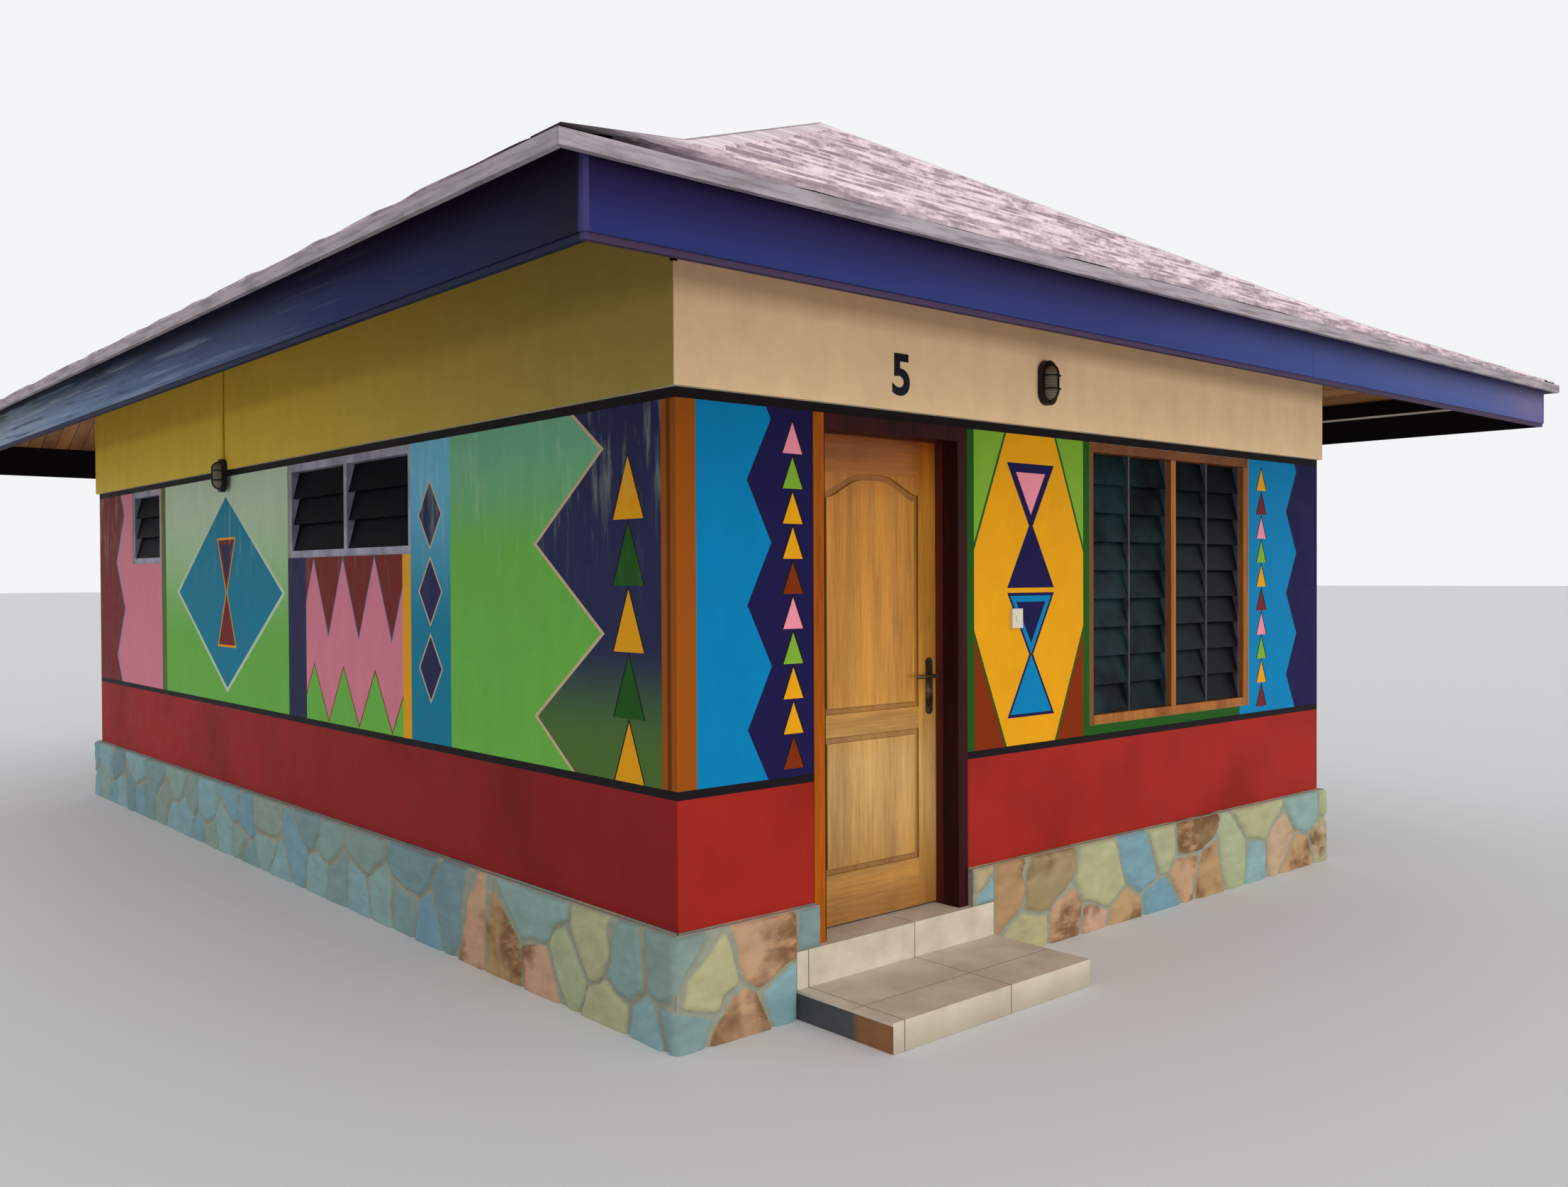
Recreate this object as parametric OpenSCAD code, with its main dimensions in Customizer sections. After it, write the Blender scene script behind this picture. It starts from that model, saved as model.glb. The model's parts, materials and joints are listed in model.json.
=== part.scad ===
// Painted masonry guest hut with a hipped roof, a stone-faced plinth and one front door.
// The front faces -Y, the floor is level and the origin is on the ground under the roof's centre.

/* [Walls] */
// Width of the front wall, outside to outside
wall_w = 4750; // [4400:10:5600]
// Length of the side walls, outside to outside
wall_d = 7660; // [7200:10:9000]
// Thickness of the masonry walls
wall_t = 200; // [190:5:240]
// Height of the upper band's lower edge above the plinth top
band_z = 1965; // [1950:5:2050]
// How far the upper band stands proud of the wall
band_proud = 22; // [10:1:40]

/* [Plinth and floor] */
// Height of the stone-faced plinth above the lowest ground
plinth_h = 420; // [380:5:500]
// How far the plinth stands proud of the wall
plinth_proud = 30; // [20:1:50]
// Depth of the floor and the door threshold below the plinth top
floor_drop = 163; // [140:1:200]

/* [Steps] */
// Width of both steps
step_w = 1170; // [1000:10:1250]
// Distance of the steps' left end from the left corner of the front wall
step_x = 540; // [500:5:620]
// Height of the lower step
step_h = 112; // [90:1:150]
// Tread depth of the lower step
step_tread = 510; // [400:10:700]
// How far the threshold block stands proud of the plinth
step_proud = 6; // [2:1:20]

/* [Door] */
// Width of the door leaf
leaf_w = 813; // [762:1:840]
// Height of the door leaf
leaf_h = 2032; // [1980:1:2050]
// Thickness of the door leaf
leaf_t = 40; // [35:1:44]
// Distance of the doorway's left edge from the left corner of the front wall
door_x = 665; // [630:5:720]
// Depth of the leaf's outer face behind the wall face
leaf_set = 130; // [100:1:140]
// Clear gap round the leaf
leaf_gap = 6; // [5:1:8]
// Thickness of the frame beside the leaf
jamb_t = 43; // [35:1:60]
// How far the frame's stops lap over the leaf
stop_lap = 12; // [8:1:15]
// How far the frame stands proud of the wall face
frame_proud = 4; // [0:1:10]
// Width of the leaf's stiles
stile_w = 120; // [105:1:130]
// Height of the leaf's top rail over the middle of the arch
top_rail_h = 166; // [120:2:180]
// Height of the leaf's bottom rail
bottom_rail_h = 208; // [180:2:240]
// Height of the middle rail between the two panels
middle_rail_h = 93; // [60:1:110]
// Height of the lower panel, moulding to moulding
low_panel_h = 566; // [450:2:600]
// Rise of the upper panel's arch
arch_rise = 80; // [50:1:100]
// Depth of the groove round each raised panel
groove_deep = 9; // [5:1:12]
// Width of the groove round each raised panel
groove_w = 26; // [15:1:35]

/* [Door hardware] */
// Height of the lever above the leaf's bottom
lever_h = 1000; // [900:5:1100]
// Distance of the handle plate's middle from the leaf's free edge
backset = 55; // [50:1:70]
// Length of the lever
lever_l = 115; // [90:1:130]
// Radius of the hinge knuckles
knuckle_r = 7; // [6:0.5:8]
// Height of a hinge
hinge_h = 100; // [75:5:125]

/* [Louvre window] */
// Distance of the louvre window's left edge from the left corner of the front wall
louvre_x = 2475; // [2300:5:2600]
// Width of the louvre window opening
louvre_w = 1490; // [1300:10:1600]
// Height of the louvre window's lower edge above the plinth top
louvre_z = 555; // [520:5:700]
// Thickness of the louvre window's timber frame
louvre_frame_t = 45; // [35:1:60]
// Depth of the louvre window's frame
louvre_frame_d = 95; // [80:1:120]
// Number of glass blades over each other in a bay
blade_count = 9; // [9:1:10]
// Height of a glass blade across the glass
blade_h = 152; // [140:1:160]
// Thickness of a glass blade
blade_t = 5; // [4:0.5:6]
// Tilt of the blades from upright
blade_tilt = 14; // [10:1:18]
// Width of the metal carriers that hold the blades' ends
carrier_t = 12; // [8:1:16]

/* [High windows] */
// Height of every opening's head above the plinth top
window_head = 1925; // [1850:5:1945]
// Height of the high windows
high_h = 525; // [450:5:600]
// Distance of the wide high window from the front corner of the side wall
wide_y = 2125; // [1900:5:2400]
// Width of the wide high window
wide_w = 1560; // [1400:10:1700]
// Distance of the narrow high window from the back corner of the side wall
narrow_back = 900; // [600:5:1200]
// Width of the narrow high window
narrow_w = 680; // [500:10:800]
// Face width of the high windows' metal frames
high_frame = 40; // [30:1:60]
// Depth of the high windows' metal frames
high_frame_d = 60; // [50:1:80]
// Set-back of all window frames behind the wall face
frame_set = 8; // [0:1:30]
// Number of glass blades over each other in a high window
high_blade_count = 3; // [3:1:4]

/* [Roof] */
// Overhang of the roof covering beyond the side walls
over_side = 1048; // [900:5:1150]
// Overhang of the roof covering beyond the front and back walls
over_front = 938; // [850:5:1050]
// Height of the roof covering's top edge at the eaves above the plinth top
eave_z = 2408; // [2380:1:2500]
// Rise of the roof from the eaves to the ridge
roof_rise = 1485; // [1300:5:1700]
// Horizontal run of the front and back slopes
hip_run = 2725; // [2500:5:3000]
// Share of the run that has the flatter pitch next to the eaves
cast_share = 0.28; // [0.2:0.01:0.35]
// How far the flatter pitch brings the slope down at its upper edge
cast_drop = 58; // [30:1:80]
// Upright thickness of the roof covering and its boards
roof_t = 28; // [20:1:40]
// Thickness of the hip and ridge capping
cap_t = 12; // [8:1:20]
// Half width of the hip and ridge capping
cap_w = 130; // [100:5:160]

/* [Eaves] */
// Distance of the fascia's outer face in from the roof covering's edge, at the sides
fascia_in_side = 83; // [60:1:110]
// Distance of the fascia's outer face in from the roof covering's edge, at the front
fascia_in_front = 28; // [20:1:60]
// Height of the fascia's lower edge above the plinth top
fascia_z = 2150; // [2100:5:2200]
// Thickness of the fascia boards
fascia_t = 26; // [20:1:32]
// Distance of the front fascia's butt joint to the right of the middle
fascia_joint = 520; // [0:10:1200]
// Height of the bead along the fascia's lower edge
bead_h = 20; // [12:1:30]
// How far the bead stands back from the fascia's face
bead_in = 5; // [3:1:8]
// Height of the eave trim
trim_h = 45; // [35:1:60]
// Thickness of the eave trim
trim_t = 22; // [15:1:30]
// How far the roof covering's edge stands above the trim
trim_drop = 8; // [4:1:12]
// Height of the soffit's underside above the plinth top
soffit_z = 2403; // [2395:1:2440]
// Thickness of the soffit and ceiling boards
soffit_t = 10; // [8:1:14]

/* [Fittings] */
// Height of a wall lamp's back box
lamp_h = 205; // [180:5:230]
// Width of a wall lamp's back box
lamp_w = 110; // [100:2:130]
// Depth of a wall lamp's back box
lamp_base_d = 30; // [20:1:45]
// Height of a wall lamp's glass
lamp_glass_h = 160; // [140:2:170]
// Distance of the front lamp from the left corner of the front wall
front_lamp_x = 2105; // [1900:5:2300]
// Height of the front lamp's middle above the plinth top
front_lamp_z = 2168; // [2130:2:2260]
// Distance of the side lamp from the front corner of the side wall
side_lamp_y = 4672; // [4300:5:5200]
// Height of the side lamp's middle above the plinth top
side_lamp_z = 1928; // [1800:2:1960]
// Radius of the side lamp's conduit
conduit_r = 10; // [8:1:14]
// Distance of the bell push from the left corner of the front wall
bell_x = 1912; // [1800:2:2100]
// Height of the bell push above the plinth top
bell_z = 1088; // [900:2:1300]

/* [Hidden] */
$fn = 48;

// Outside faces of the walls
x0 = -wall_w / 2;
x1 = wall_w / 2;
y0 = -wall_d / 2;
y1 = wall_d / 2;
top = plinth_h;
floor_z = plinth_h - floor_drop;
wall_top = plinth_h + soffit_z;

// Doorway, frame and leaf
frame_w = leaf_w + 2 * (leaf_gap + jamb_t);
leaf_foot = 8;
leaf_z0 = floor_z + leaf_foot;
leaf_z1 = leaf_z0 + leaf_h;
door_x0 = x0 + door_x;
door_x1 = door_x0 + frame_w;
door_head = leaf_z1 + leaf_gap + jamb_t;
leaf_x0 = door_x0 + jamb_t + leaf_gap;
leaf_x1 = leaf_x0 + leaf_w;
leaf_y0 = y0 + leaf_set;
leaf_y1 = leaf_y0 + leaf_t;
stop_gap = 5;
stop_y1 = leaf_y0 - stop_gap;

// Hinge line, just inside the room
knuckle_gap = 1;
hinge_x = leaf_x0 - leaf_gap / 2;
hinge_y = leaf_y1 + knuckle_r + knuckle_gap;
hinge_plate_t = leaf_gap / 2 - 0.5;
hinge_plate_w = 32;
pin_r = 3;
pin_play = 0.3;
hinge_in = 200;
hinge_heights = [leaf_z0 + hinge_in, (leaf_z0 + leaf_z1) / 2, leaf_z1 - hinge_in];

// Window openings, each [start along the wall, width, lower edge, upper edge]
louvre_hole = [x0 + louvre_x, louvre_w, top + louvre_z, top + window_head];
high_z0 = top + window_head - high_h;
high_z1 = top + window_head;
wide_hole = [y0 + wide_y, wide_w, high_z0, high_z1];
narrow_hole = [y1 - narrow_back - narrow_w, narrow_w, high_z0, high_z1];
back_hole = [-wide_w / 2, wide_w, high_z0, high_z1];

// Roof outline and heights
roof_x = wall_w / 2 + over_side;
roof_y = wall_d / 2 + over_front;
eave = plinth_h + eave_z;
ridge = eave + roof_rise;
cast_z = eave + roof_rise * cast_share - cast_drop;
above = 200;
roof_floor = plinth_h + fascia_z - above;
beyond = 20;

fascia_x = roof_x - fascia_in_side;
fascia_y = roof_y - fascia_in_front;
cut = 1;

// Draws a box from one corner to the other
module block(low, high) {
    translate(low) cube(high - low);
}

// Draws an upright slot through a wall that runs along X
module hole_along_x(hole, y_low, y_high) {
    block([hole[0], y_low, hole[2]], [hole[0] + hole[1], y_high, hole[3]]);
}

// Draws an upright slot through a wall that runs along Y
module hole_along_y(hole, x_low, x_high) {
    block([x_low, hole[0], hole[2]], [x_high, hole[0] + hole[1], hole[3]]);
}

// Floor and plinth
module floor_slab() {
    color("darkgray")
        block([x0 + wall_t, y0 + wall_t, 0], [x1 - wall_t, y1 - wall_t, floor_z]);
}

step_x0 = x0 + step_x;
step_x1 = step_x0 + step_w;
plinth_x = wall_w / 2 + plinth_proud;
plinth_y = wall_d / 2 + plinth_proud;

module plinth_front_left() {
    color("cadetblue") {
        block([-plinth_x, -plinth_y, 0], [step_x0, y0 + wall_t, floor_z]);
        block([-plinth_x, -plinth_y, floor_z], [door_x0, y0 + wall_t, top]);
    }
}

module plinth_front_right() {
    color("cadetblue") {
        block([step_x1, -plinth_y, 0], [plinth_x, y0 + wall_t, floor_z]);
        block([door_x1, -plinth_y, floor_z], [plinth_x, y0 + wall_t, top]);
    }
}

module plinth_side() {
    block([-plinth_x, y0 + wall_t, 0], [x0 + wall_t, y1 - wall_t, top]);
}

module plinth_left() {
    color("cadetblue") plinth_side();
}

module plinth_right() {
    color("cadetblue") mirror([1, 0, 0]) plinth_side();
}

module plinth_back() {
    color("cadetblue") block([-plinth_x, y1 - wall_t, 0], [plinth_x, plinth_y, top]);
}

// A stretch of front wall with its share of the upper band
module front_stretch(x_low, x_high, z_low) {
    band_low = x_low == x0 ? x0 - band_proud : x_low;
    band_high = x_high == x1 ? x1 + band_proud : x_high;
    block([x_low, y0, z_low], [x_high, y0 + wall_t, wall_top]);
    block([band_low, y0 - band_proud, top + band_z], [band_high, y0 + wall_t, wall_top]);
}

module front_wall_left() {
    color("burlywood") front_stretch(x0, door_x0, top);
}

module front_wall_over_door() {
    color("burlywood") front_stretch(door_x0, door_x1, door_head);
}

module front_wall_right() {
    color("burlywood") difference() {
        front_stretch(door_x1, x1, top);
        hole_along_x(louvre_hole, y0 - cut, y0 + wall_t + cut);
    }
}

// The left wall, which the right wall mirrors
module side_wall() {
    difference() {
        union() {
            block([x0, y0 + wall_t, top], [x0 + wall_t, y1 - wall_t, wall_top]);
            block([x0 - band_proud, y0 + wall_t, top + band_z],
                  [x0 + wall_t, y1 - wall_t, wall_top]);
        }
        hole_along_y(wide_hole, x0 - cut, x0 + wall_t + cut);
        hole_along_y(narrow_hole, x0 - cut, x0 + wall_t + cut);
    }
}

module left_wall() {
    color("olivedrab") side_wall();
}

module right_wall() {
    color("olivedrab") mirror([1, 0, 0]) side_wall();
}

module back_wall() {
    color("burlywood") difference() {
        union() {
            block([x0, y1 - wall_t, top], [x1, y1, wall_top]);
            block([x0 - band_proud, y1 - wall_t, top + band_z],
                  [x1 + band_proud, y1 + band_proud, wall_top]);
        }
        hole_along_x(back_hole, y1 - wall_t - cut, y1 + cut);
    }
}

// Steps
step_front = -plinth_y - step_proud;

module threshold_step() {
    color("wheat") block([step_x0, step_front, 0], [step_x1, y0 + wall_t, floor_z]);
}

module front_step() {
    color("wheat") block([step_x0, step_front - step_tread, 0], [step_x1, step_front, step_h]);
}

// Door frame with a rebate that the leaf closes into from the room
module door_frame() {
    clear_low = leaf_x0 + stop_lap;
    clear_high = leaf_x1 - stop_lap;
    color("maroon") difference() {
        block([door_x0, y0 - frame_proud, floor_z], [door_x1, leaf_y1, door_head]);
        block([clear_low, y0 - frame_proud - cut, floor_z - cut],
              [clear_high, stop_y1 + cut, leaf_z1 - stop_lap]);
        block([door_x0 + jamb_t, stop_y1, floor_z - cut],
              [door_x1 - jamb_t, leaf_y1 + cut, leaf_z1 + leaf_gap]);
    }
}

// One knuckle of a hinge, a third of its height
module knuckle(z_low, hollow) {
    translate([hinge_x, hinge_y, z_low]) difference() {
        cylinder(r = knuckle_r, h = hinge_h / 3 - knuckle_gap);
        if (hollow)
            translate([0, 0, -cut]) cylinder(r = pin_r + pin_play, h = hinge_h);
    }
}

// The fixed halves of the three hinges, each with its pin
module frame_hinges() {
    plate_x = door_x0 + jamb_t;
    color("silver") for (middle = hinge_heights) {
        z_low = middle - hinge_h / 2;
        block([plate_x, leaf_y1 - hinge_plate_w, z_low],
              [plate_x + hinge_plate_t, leaf_y1, z_low + hinge_h]);
        for (third = [0, 2]) {
            block([plate_x, leaf_y1 - cut, z_low + third * hinge_h / 3],
                  [plate_x + hinge_plate_t, hinge_y, z_low + (third + 1) * hinge_h / 3 - knuckle_gap]);
            knuckle(z_low + third * hinge_h / 3, false);
        }
        translate([hinge_x, hinge_y, z_low]) cylinder(r = pin_r, h = hinge_h - knuckle_gap);
    }
}

// Louvre window with two bays, each with a carrier at its ends and its middle
louvre_y0 = y0 + frame_set;
louvre_y1 = louvre_y0 + louvre_frame_d;
louvre_mid = louvre_hole[0] + louvre_w / 2;
mullion_t = louvre_frame_t;
bay_w = (louvre_w - 2 * louvre_frame_t - mullion_t) / 2;
bay_starts = [louvre_hole[0] + louvre_frame_t, louvre_mid + mullion_t / 2];
bay_z0 = louvre_hole[2] + louvre_frame_t;
bay_z1 = louvre_hole[3] - louvre_frame_t;
carrier_d = 40;
carrier_y = (louvre_y0 + louvre_y1) / 2;
carrier_step = (bay_w - carrier_t) / 2;

// Tilted glass blades
blade_clear = 2;
blade_rise = blade_h * cos(blade_tilt) + blade_t * sin(blade_tilt);

// A stack of tilted blades that fills a given height, along X from the origin
module blade_stack(width, height, count) {
    pitch = (height - 2 * blade_clear - blade_rise) / (count - 1);
    for (row = [0:count - 1])
        translate([0, 0, blade_clear + blade_rise / 2 + row * pitch])
            rotate([-blade_tilt, 0, 0])
                translate([0, -blade_t / 2, -blade_h / 2])
                    cube([width, blade_t, blade_h]);
}

module louvre_window_frame() {
    color("sienna") difference() {
        hole_along_x(louvre_hole, louvre_y0, louvre_y1);
        for (start = bay_starts)
            block([start, louvre_y0 - cut, bay_z0], [start + bay_w, louvre_y1 + cut, bay_z1]);
    }
}

module louvre_carriers() {
    color("silver") for (start = bay_starts, place = [0:2]) {
        x_low = start + place * carrier_step;
        block([x_low, carrier_y - carrier_d / 2, bay_z0],
              [x_low + carrier_t, carrier_y + carrier_d / 2, bay_z1]);
    }
}

module louvre_blades() {
    color("slategray") for (start = bay_starts, half = [0, 1])
        translate([start + carrier_t + half * carrier_step, carrier_y, bay_z0])
            blade_stack(carrier_step - carrier_t, bay_z1 - bay_z0, blade_count);
}

// Width of each light of a metal window
function light_width(width, lights) = (width - (lights + 1) * high_frame) / lights;

// A metal window with upright bars, along X from the origin and facing -Y
module metal_window(width, height, lights) {
    light_w = light_width(width, lights);
    difference() {
        cube([width, high_frame_d, height]);
        for (light = [0:lights - 1])
            translate([high_frame + light * (light_w + high_frame), -cut, high_frame])
                cube([light_w, high_frame_d + 2 * cut, height - 2 * high_frame]);
    }
}

// The glass blades of a metal window
module metal_blades(width, height, lights) {
    light_w = light_width(width, lights);
    for (light = [0:lights - 1])
        translate([high_frame + light * (light_w + high_frame), high_frame_d / 2, high_frame])
            blade_stack(light_w, height - 2 * high_frame, high_blade_count);
}

// Puts a window drawn along X into the left wall
module in_left_wall(hole) {
    translate([x0 + frame_set, hole[0] + hole[1], hole[2]]) rotate([0, 0, -90]) children();
}

module left_frames() {
    in_left_wall(wide_hole) metal_window(wide_w, high_h, 2);
    in_left_wall(narrow_hole) metal_window(narrow_w, high_h, 1);
}

module left_panes() {
    in_left_wall(wide_hole) metal_blades(wide_w, high_h, 2);
    in_left_wall(narrow_hole) metal_blades(narrow_w, high_h, 1);
}

module left_window_frames() {
    color("gainsboro") left_frames();
}

module left_window_panes() {
    color("slategray") left_panes();
}

module right_window_frames() {
    color("gainsboro") mirror([1, 0, 0]) left_frames();
}

module right_window_panes() {
    color("slategray") mirror([1, 0, 0]) left_panes();
}

module in_back_wall() {
    translate([wide_w / 2, y1 - frame_set, high_z0]) rotate([0, 0, 180]) children();
}

module back_window_frame() {
    color("gainsboro") in_back_wall() metal_window(wide_w, high_h, 2);
}

module back_window_panes() {
    color("slategray") in_back_wall() metal_blades(wide_w, high_h, 2);
}

// Half of a roof section: flatter next to the eaves, steeper above, for a given run
function slope_points(half, run, lift) = let (
    low_tan = (cast_z - eave) / (run * cast_share),
    high_tan = (ridge - cast_z) / (run * (1 - cast_share))
) [
    [-half - beyond, roof_floor],
    [-half - beyond, eave + lift - beyond * low_tan],
    [-half + run * cast_share, cast_z + lift],
    [-half + run + above / high_tan, ridge + lift + above],
    [half + above, ridge + lift + above],
    [half + above, roof_floor]
];

// A closed roof section, whose peak is where both slopes meet at the middle
module roof_section(half, run, lift) {
    intersection() {
        polygon(slope_points(half, run, lift));
        mirror([1, 0]) polygon(slope_points(half, run, lift));
    }
}

// Everything under the roof surface, lifted or lowered, and a little past the edges
module roof_mass(lift) {
    intersection() {
        rotate([90, 0, 0]) linear_extrude(height = 2 * (roof_y + beyond), center = true)
            roof_section(roof_x, roof_x, lift);
        rotate([90, 0, 90]) linear_extrude(height = 2 * (roof_x + beyond), center = true)
            roof_section(roof_y, hip_run, lift);
    }
}

// Plan outlines of the slopes, which meet on the hips and the ridge
ridge_y = roof_y - hip_run;
front_plan = [[-roof_x, -roof_y], [roof_x, -roof_y], [0, -ridge_y]];
left_plan = [[-roof_x, -roof_y], [0, -ridge_y], [0, ridge_y], [-roof_x, roof_y]];

module roof_slope(plan) {
    intersection() {
        difference() {
            roof_mass(0);
            roof_mass(-roof_t);
        }
        translate([0, 0, roof_floor]) linear_extrude(height = ridge) polygon(plan);
    }
}

module roof_front_slope() {
    color("rosybrown") roof_slope(front_plan);
}

module roof_back_slope() {
    color("rosybrown") mirror([0, 1, 0]) roof_slope(front_plan);
}

module roof_left_slope() {
    color("rosybrown") roof_slope(left_plan);
}

module roof_right_slope() {
    color("rosybrown") mirror([1, 0, 0]) roof_slope(left_plan);
}

// A strip of the plan along one hip, from the near left corner to the ridge's end
module hip_strip() {
    polygon([[-roof_x - beyond, -roof_y], [-roof_x, -roof_y - beyond],
             [-roof_x + cap_w, -roof_y - beyond], [cap_w, -ridge_y], [0, -ridge_y + cap_w],
             [-cap_w, -ridge_y + cap_w], [-roof_x - beyond, -roof_y + cap_w]]);
}

module hip_and_ridge_caps() {
    color("gray") intersection() {
        difference() {
            roof_mass(cap_t);
            roof_mass(0);
        }
        translate([0, 0, roof_floor]) linear_extrude(height = ridge) intersection() {
            union() {
                for (flip_x = [0, 1], flip_y = [0, 1])
                    mirror([flip_x, 0]) mirror([0, flip_y]) hip_strip();
                square([2 * cap_w, 2 * ridge_y], center = true);
            }
            square([2 * roof_x, 2 * roof_y], center = true);
        }
    }
}

// Boards at the eaves
module soffit_and_ceiling() {
    inner_x = fascia_x - fascia_t;
    inner_y = fascia_y - fascia_t;
    color("peru") intersection() {
        block([-inner_x, -inner_y, wall_top], [inner_x, inner_y, wall_top + soffit_t]);
        roof_mass(-roof_t);
    }
}

// A fascia board of the given length, along X with its face to -Y, mitred at both ends
module fascia_board(half_length, face_y) {
    low = plinth_h + fascia_z;
    section = [
        [face_y + bead_in, low], [face_y + fascia_t, low], [face_y + fascia_t, eave + above],
        [face_y, eave + above], [face_y, low + bead_h], [face_y + bead_in, low + bead_h]
    ];
    intersection() {
        rotate([90, 0, 90]) linear_extrude(height = 2 * half_length, center = true) polygon(section);
        translate([0, 0, low - beyond]) linear_extrude(height = eave + above - low + beyond)
            polygon([[-half_length, face_y], [half_length, face_y],
                     [half_length - fascia_t, face_y + fascia_t],
                     [-half_length + fascia_t, face_y + fascia_t]]);
    }
}

module long_fascia() {
    intersection() {
        fascia_board(fascia_x, -fascia_y);
        roof_mass(-roof_t);
    }
}

module side_fascia() {
    intersection() {
        rotate([0, 0, -90]) fascia_board(fascia_y, -fascia_x);
        roof_mass(-roof_t);
    }
}

// The front has two boards that meet over the bead with an open butt joint
board_gap = 3;

module fascia_front() {
    color("darkslateblue") difference() {
        long_fascia();
        block([fascia_joint, -fascia_y - cut, plinth_h + fascia_z + bead_h],
              [fascia_joint + board_gap, -fascia_y + fascia_t + cut, eave + above]);
    }
}

module fascia_back() {
    color("darkslateblue") mirror([0, 1, 0]) long_fascia();
}

module fascia_left() {
    color("darkslateblue") side_fascia();
}

module fascia_right() {
    color("darkslateblue") mirror([1, 0, 0]) side_fascia();
}

// The pale strip on the roof's edge: four boards with fine open mitres
mitre_gap = 1;

module trim_board(half_length, face_y) {
    translate([0, 0, eave - trim_drop - trim_h]) linear_extrude(height = trim_h)
        polygon([[-half_length + mitre_gap, face_y], [half_length - mitre_gap, face_y],
                 [half_length - trim_t - mitre_gap, face_y + trim_t],
                 [-half_length + trim_t + mitre_gap, face_y + trim_t]]);
}

module eave_trim() {
    color("lightgray") for (turn = [0, 180]) {
        rotate([0, 0, turn]) trim_board(roof_x + trim_t, -roof_y - trim_t);
        rotate([0, 0, turn + 90]) trim_board(roof_y + trim_t, -roof_x - trim_t);
    }
}

// An upright oval, with the radius of its round ends
module oval(width, height) {
    straight = height - width;
    for (end = [-1, 1]) translate([0, end * straight / 2]) circle(d = width);
    square([width, straight], center = true);
}

// Lamps with a long glass under a guard of round wire
lamp_rim = 13;
lamp_glass_r = lamp_w / 2 - lamp_rim;
lamp_straight = lamp_glass_h - 2 * lamp_glass_r;
guard_r = 4;
guard_bury = 1;
guard_ring_r = lamp_glass_r + guard_r - guard_bury;
guard_hoop_z = 30;
lamp_facets = 24;

// Half of a rounded bar, whose flat side lies on the lamp's back box
module lamp_glass() {
    intersection() {
        union() {
            cylinder(r = lamp_glass_r, h = lamp_straight, center = true);
            for (end = [-1, 1])
                translate([0, 0, end * lamp_straight / 2]) sphere(r = lamp_glass_r);
        }
        block([-lamp_w, -lamp_w, -lamp_h], [lamp_w, guard_bury, lamp_h]);
    }
}

// A half ring of guard wire round the glass
module guard_hoop() {
    rotate([0, 0, 180]) rotate_extrude(angle = 180) translate([guard_ring_r, 0]) circle(r = guard_r);
}

// The upright wire that runs over the middle of the glass
module guard_upright() {
    translate([0, -guard_ring_r, 0])
        cylinder(r = guard_r, h = lamp_straight, center = true);
    for (flip = [0, 1])
        mirror([0, 0, flip]) translate([0, 0, lamp_straight / 2]) rotate([90, 0, -90])
            rotate_extrude(angle = 90) translate([guard_ring_r, 0]) circle(r = guard_r);
}

// A bulkhead lamp on a wall, facing -Y with its back on the origin
module wall_lamp() {
    $fn = lamp_facets;
    rotate([90, 0, 0]) linear_extrude(height = lamp_base_d) oval(lamp_w, lamp_h);
    translate([0, -lamp_base_d, 0]) {
        lamp_glass();
        for (end = [-1, 1]) translate([0, 0, end * guard_hoop_z]) guard_hoop();
        guard_upright();
    }
}

module front_lamp() {
    color("dimgray")
        translate([x0 + front_lamp_x, y0 - band_proud, top + front_lamp_z]) wall_lamp();
}

module side_lamp() {
    color("dimgray")
        translate([x0 - band_proud, y0 + side_lamp_y, top + side_lamp_z])
            rotate([0, 0, -90]) wall_lamp();
}

module side_lamp_conduit() {
    low = top + side_lamp_z + lamp_h / 2;
    color("olivedrab")
        translate([x0 - band_proud - conduit_r, y0 + side_lamp_y, low])
            cylinder(r = conduit_r, h = wall_top - low);
}

// Bell push, with a round button on a square plate
bell_w = 74;
bell_h = 88;
bell_d = 14;
bell_button_r = 14;
bell_button_d = 4;

module bell_push() {
    color("cornsilk")
        translate([x0 + bell_x, y0 - bell_d, top + bell_z]) {
            translate([-bell_w / 2, 0, -bell_h / 2]) cube([bell_w, bell_d, bell_h]);
            rotate([90, 0, 0]) cylinder(r = bell_button_r, h = bell_button_d);
        }
}

// Share of the way down from an arch's top at a given place, from -1 to 1 across the arch
arch_breadth = 1.5;
arch_facets = 24;
function arch_fall(place) = (1 - cos(180 * pow(abs(place), arch_breadth))) / 2;

// Outline of a panel under a broad arch that runs out level at both shoulders
function arched_outline(width, height, rise, inset) = let (
    half = width / 2 - inset
) concat(
    [[-half, inset], [half, inset]],
    [for (i = [0:arch_facets])
        let (place = 1 - 2 * i / arch_facets)
        [place * half, height - inset - rise * arch_fall(place)]]
);

// The outline of one panel of the leaf; the upper one is arched
module panel_outline(panel, inset) {
    panel_w = leaf_w - 2 * stile_w;
    up_z = bottom_rail_h + low_panel_h + middle_rail_h;
    if (panel == "low")
        translate([-panel_w / 2 + inset, bottom_rail_h + inset])
            square([panel_w - 2 * inset, low_panel_h - 2 * inset]);
    else
        translate([0, up_z])
            polygon(arched_outline(panel_w, leaf_h - top_rail_h - up_z, arch_rise, inset));
}

// The groove round a raised panel, as deep as it is cut from one face
module panel_groove(panel) {
    linear_extrude(height = groove_deep + cut) difference() {
        panel_outline(panel, 0);
        panel_outline(panel, groove_w);
    }
}

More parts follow.
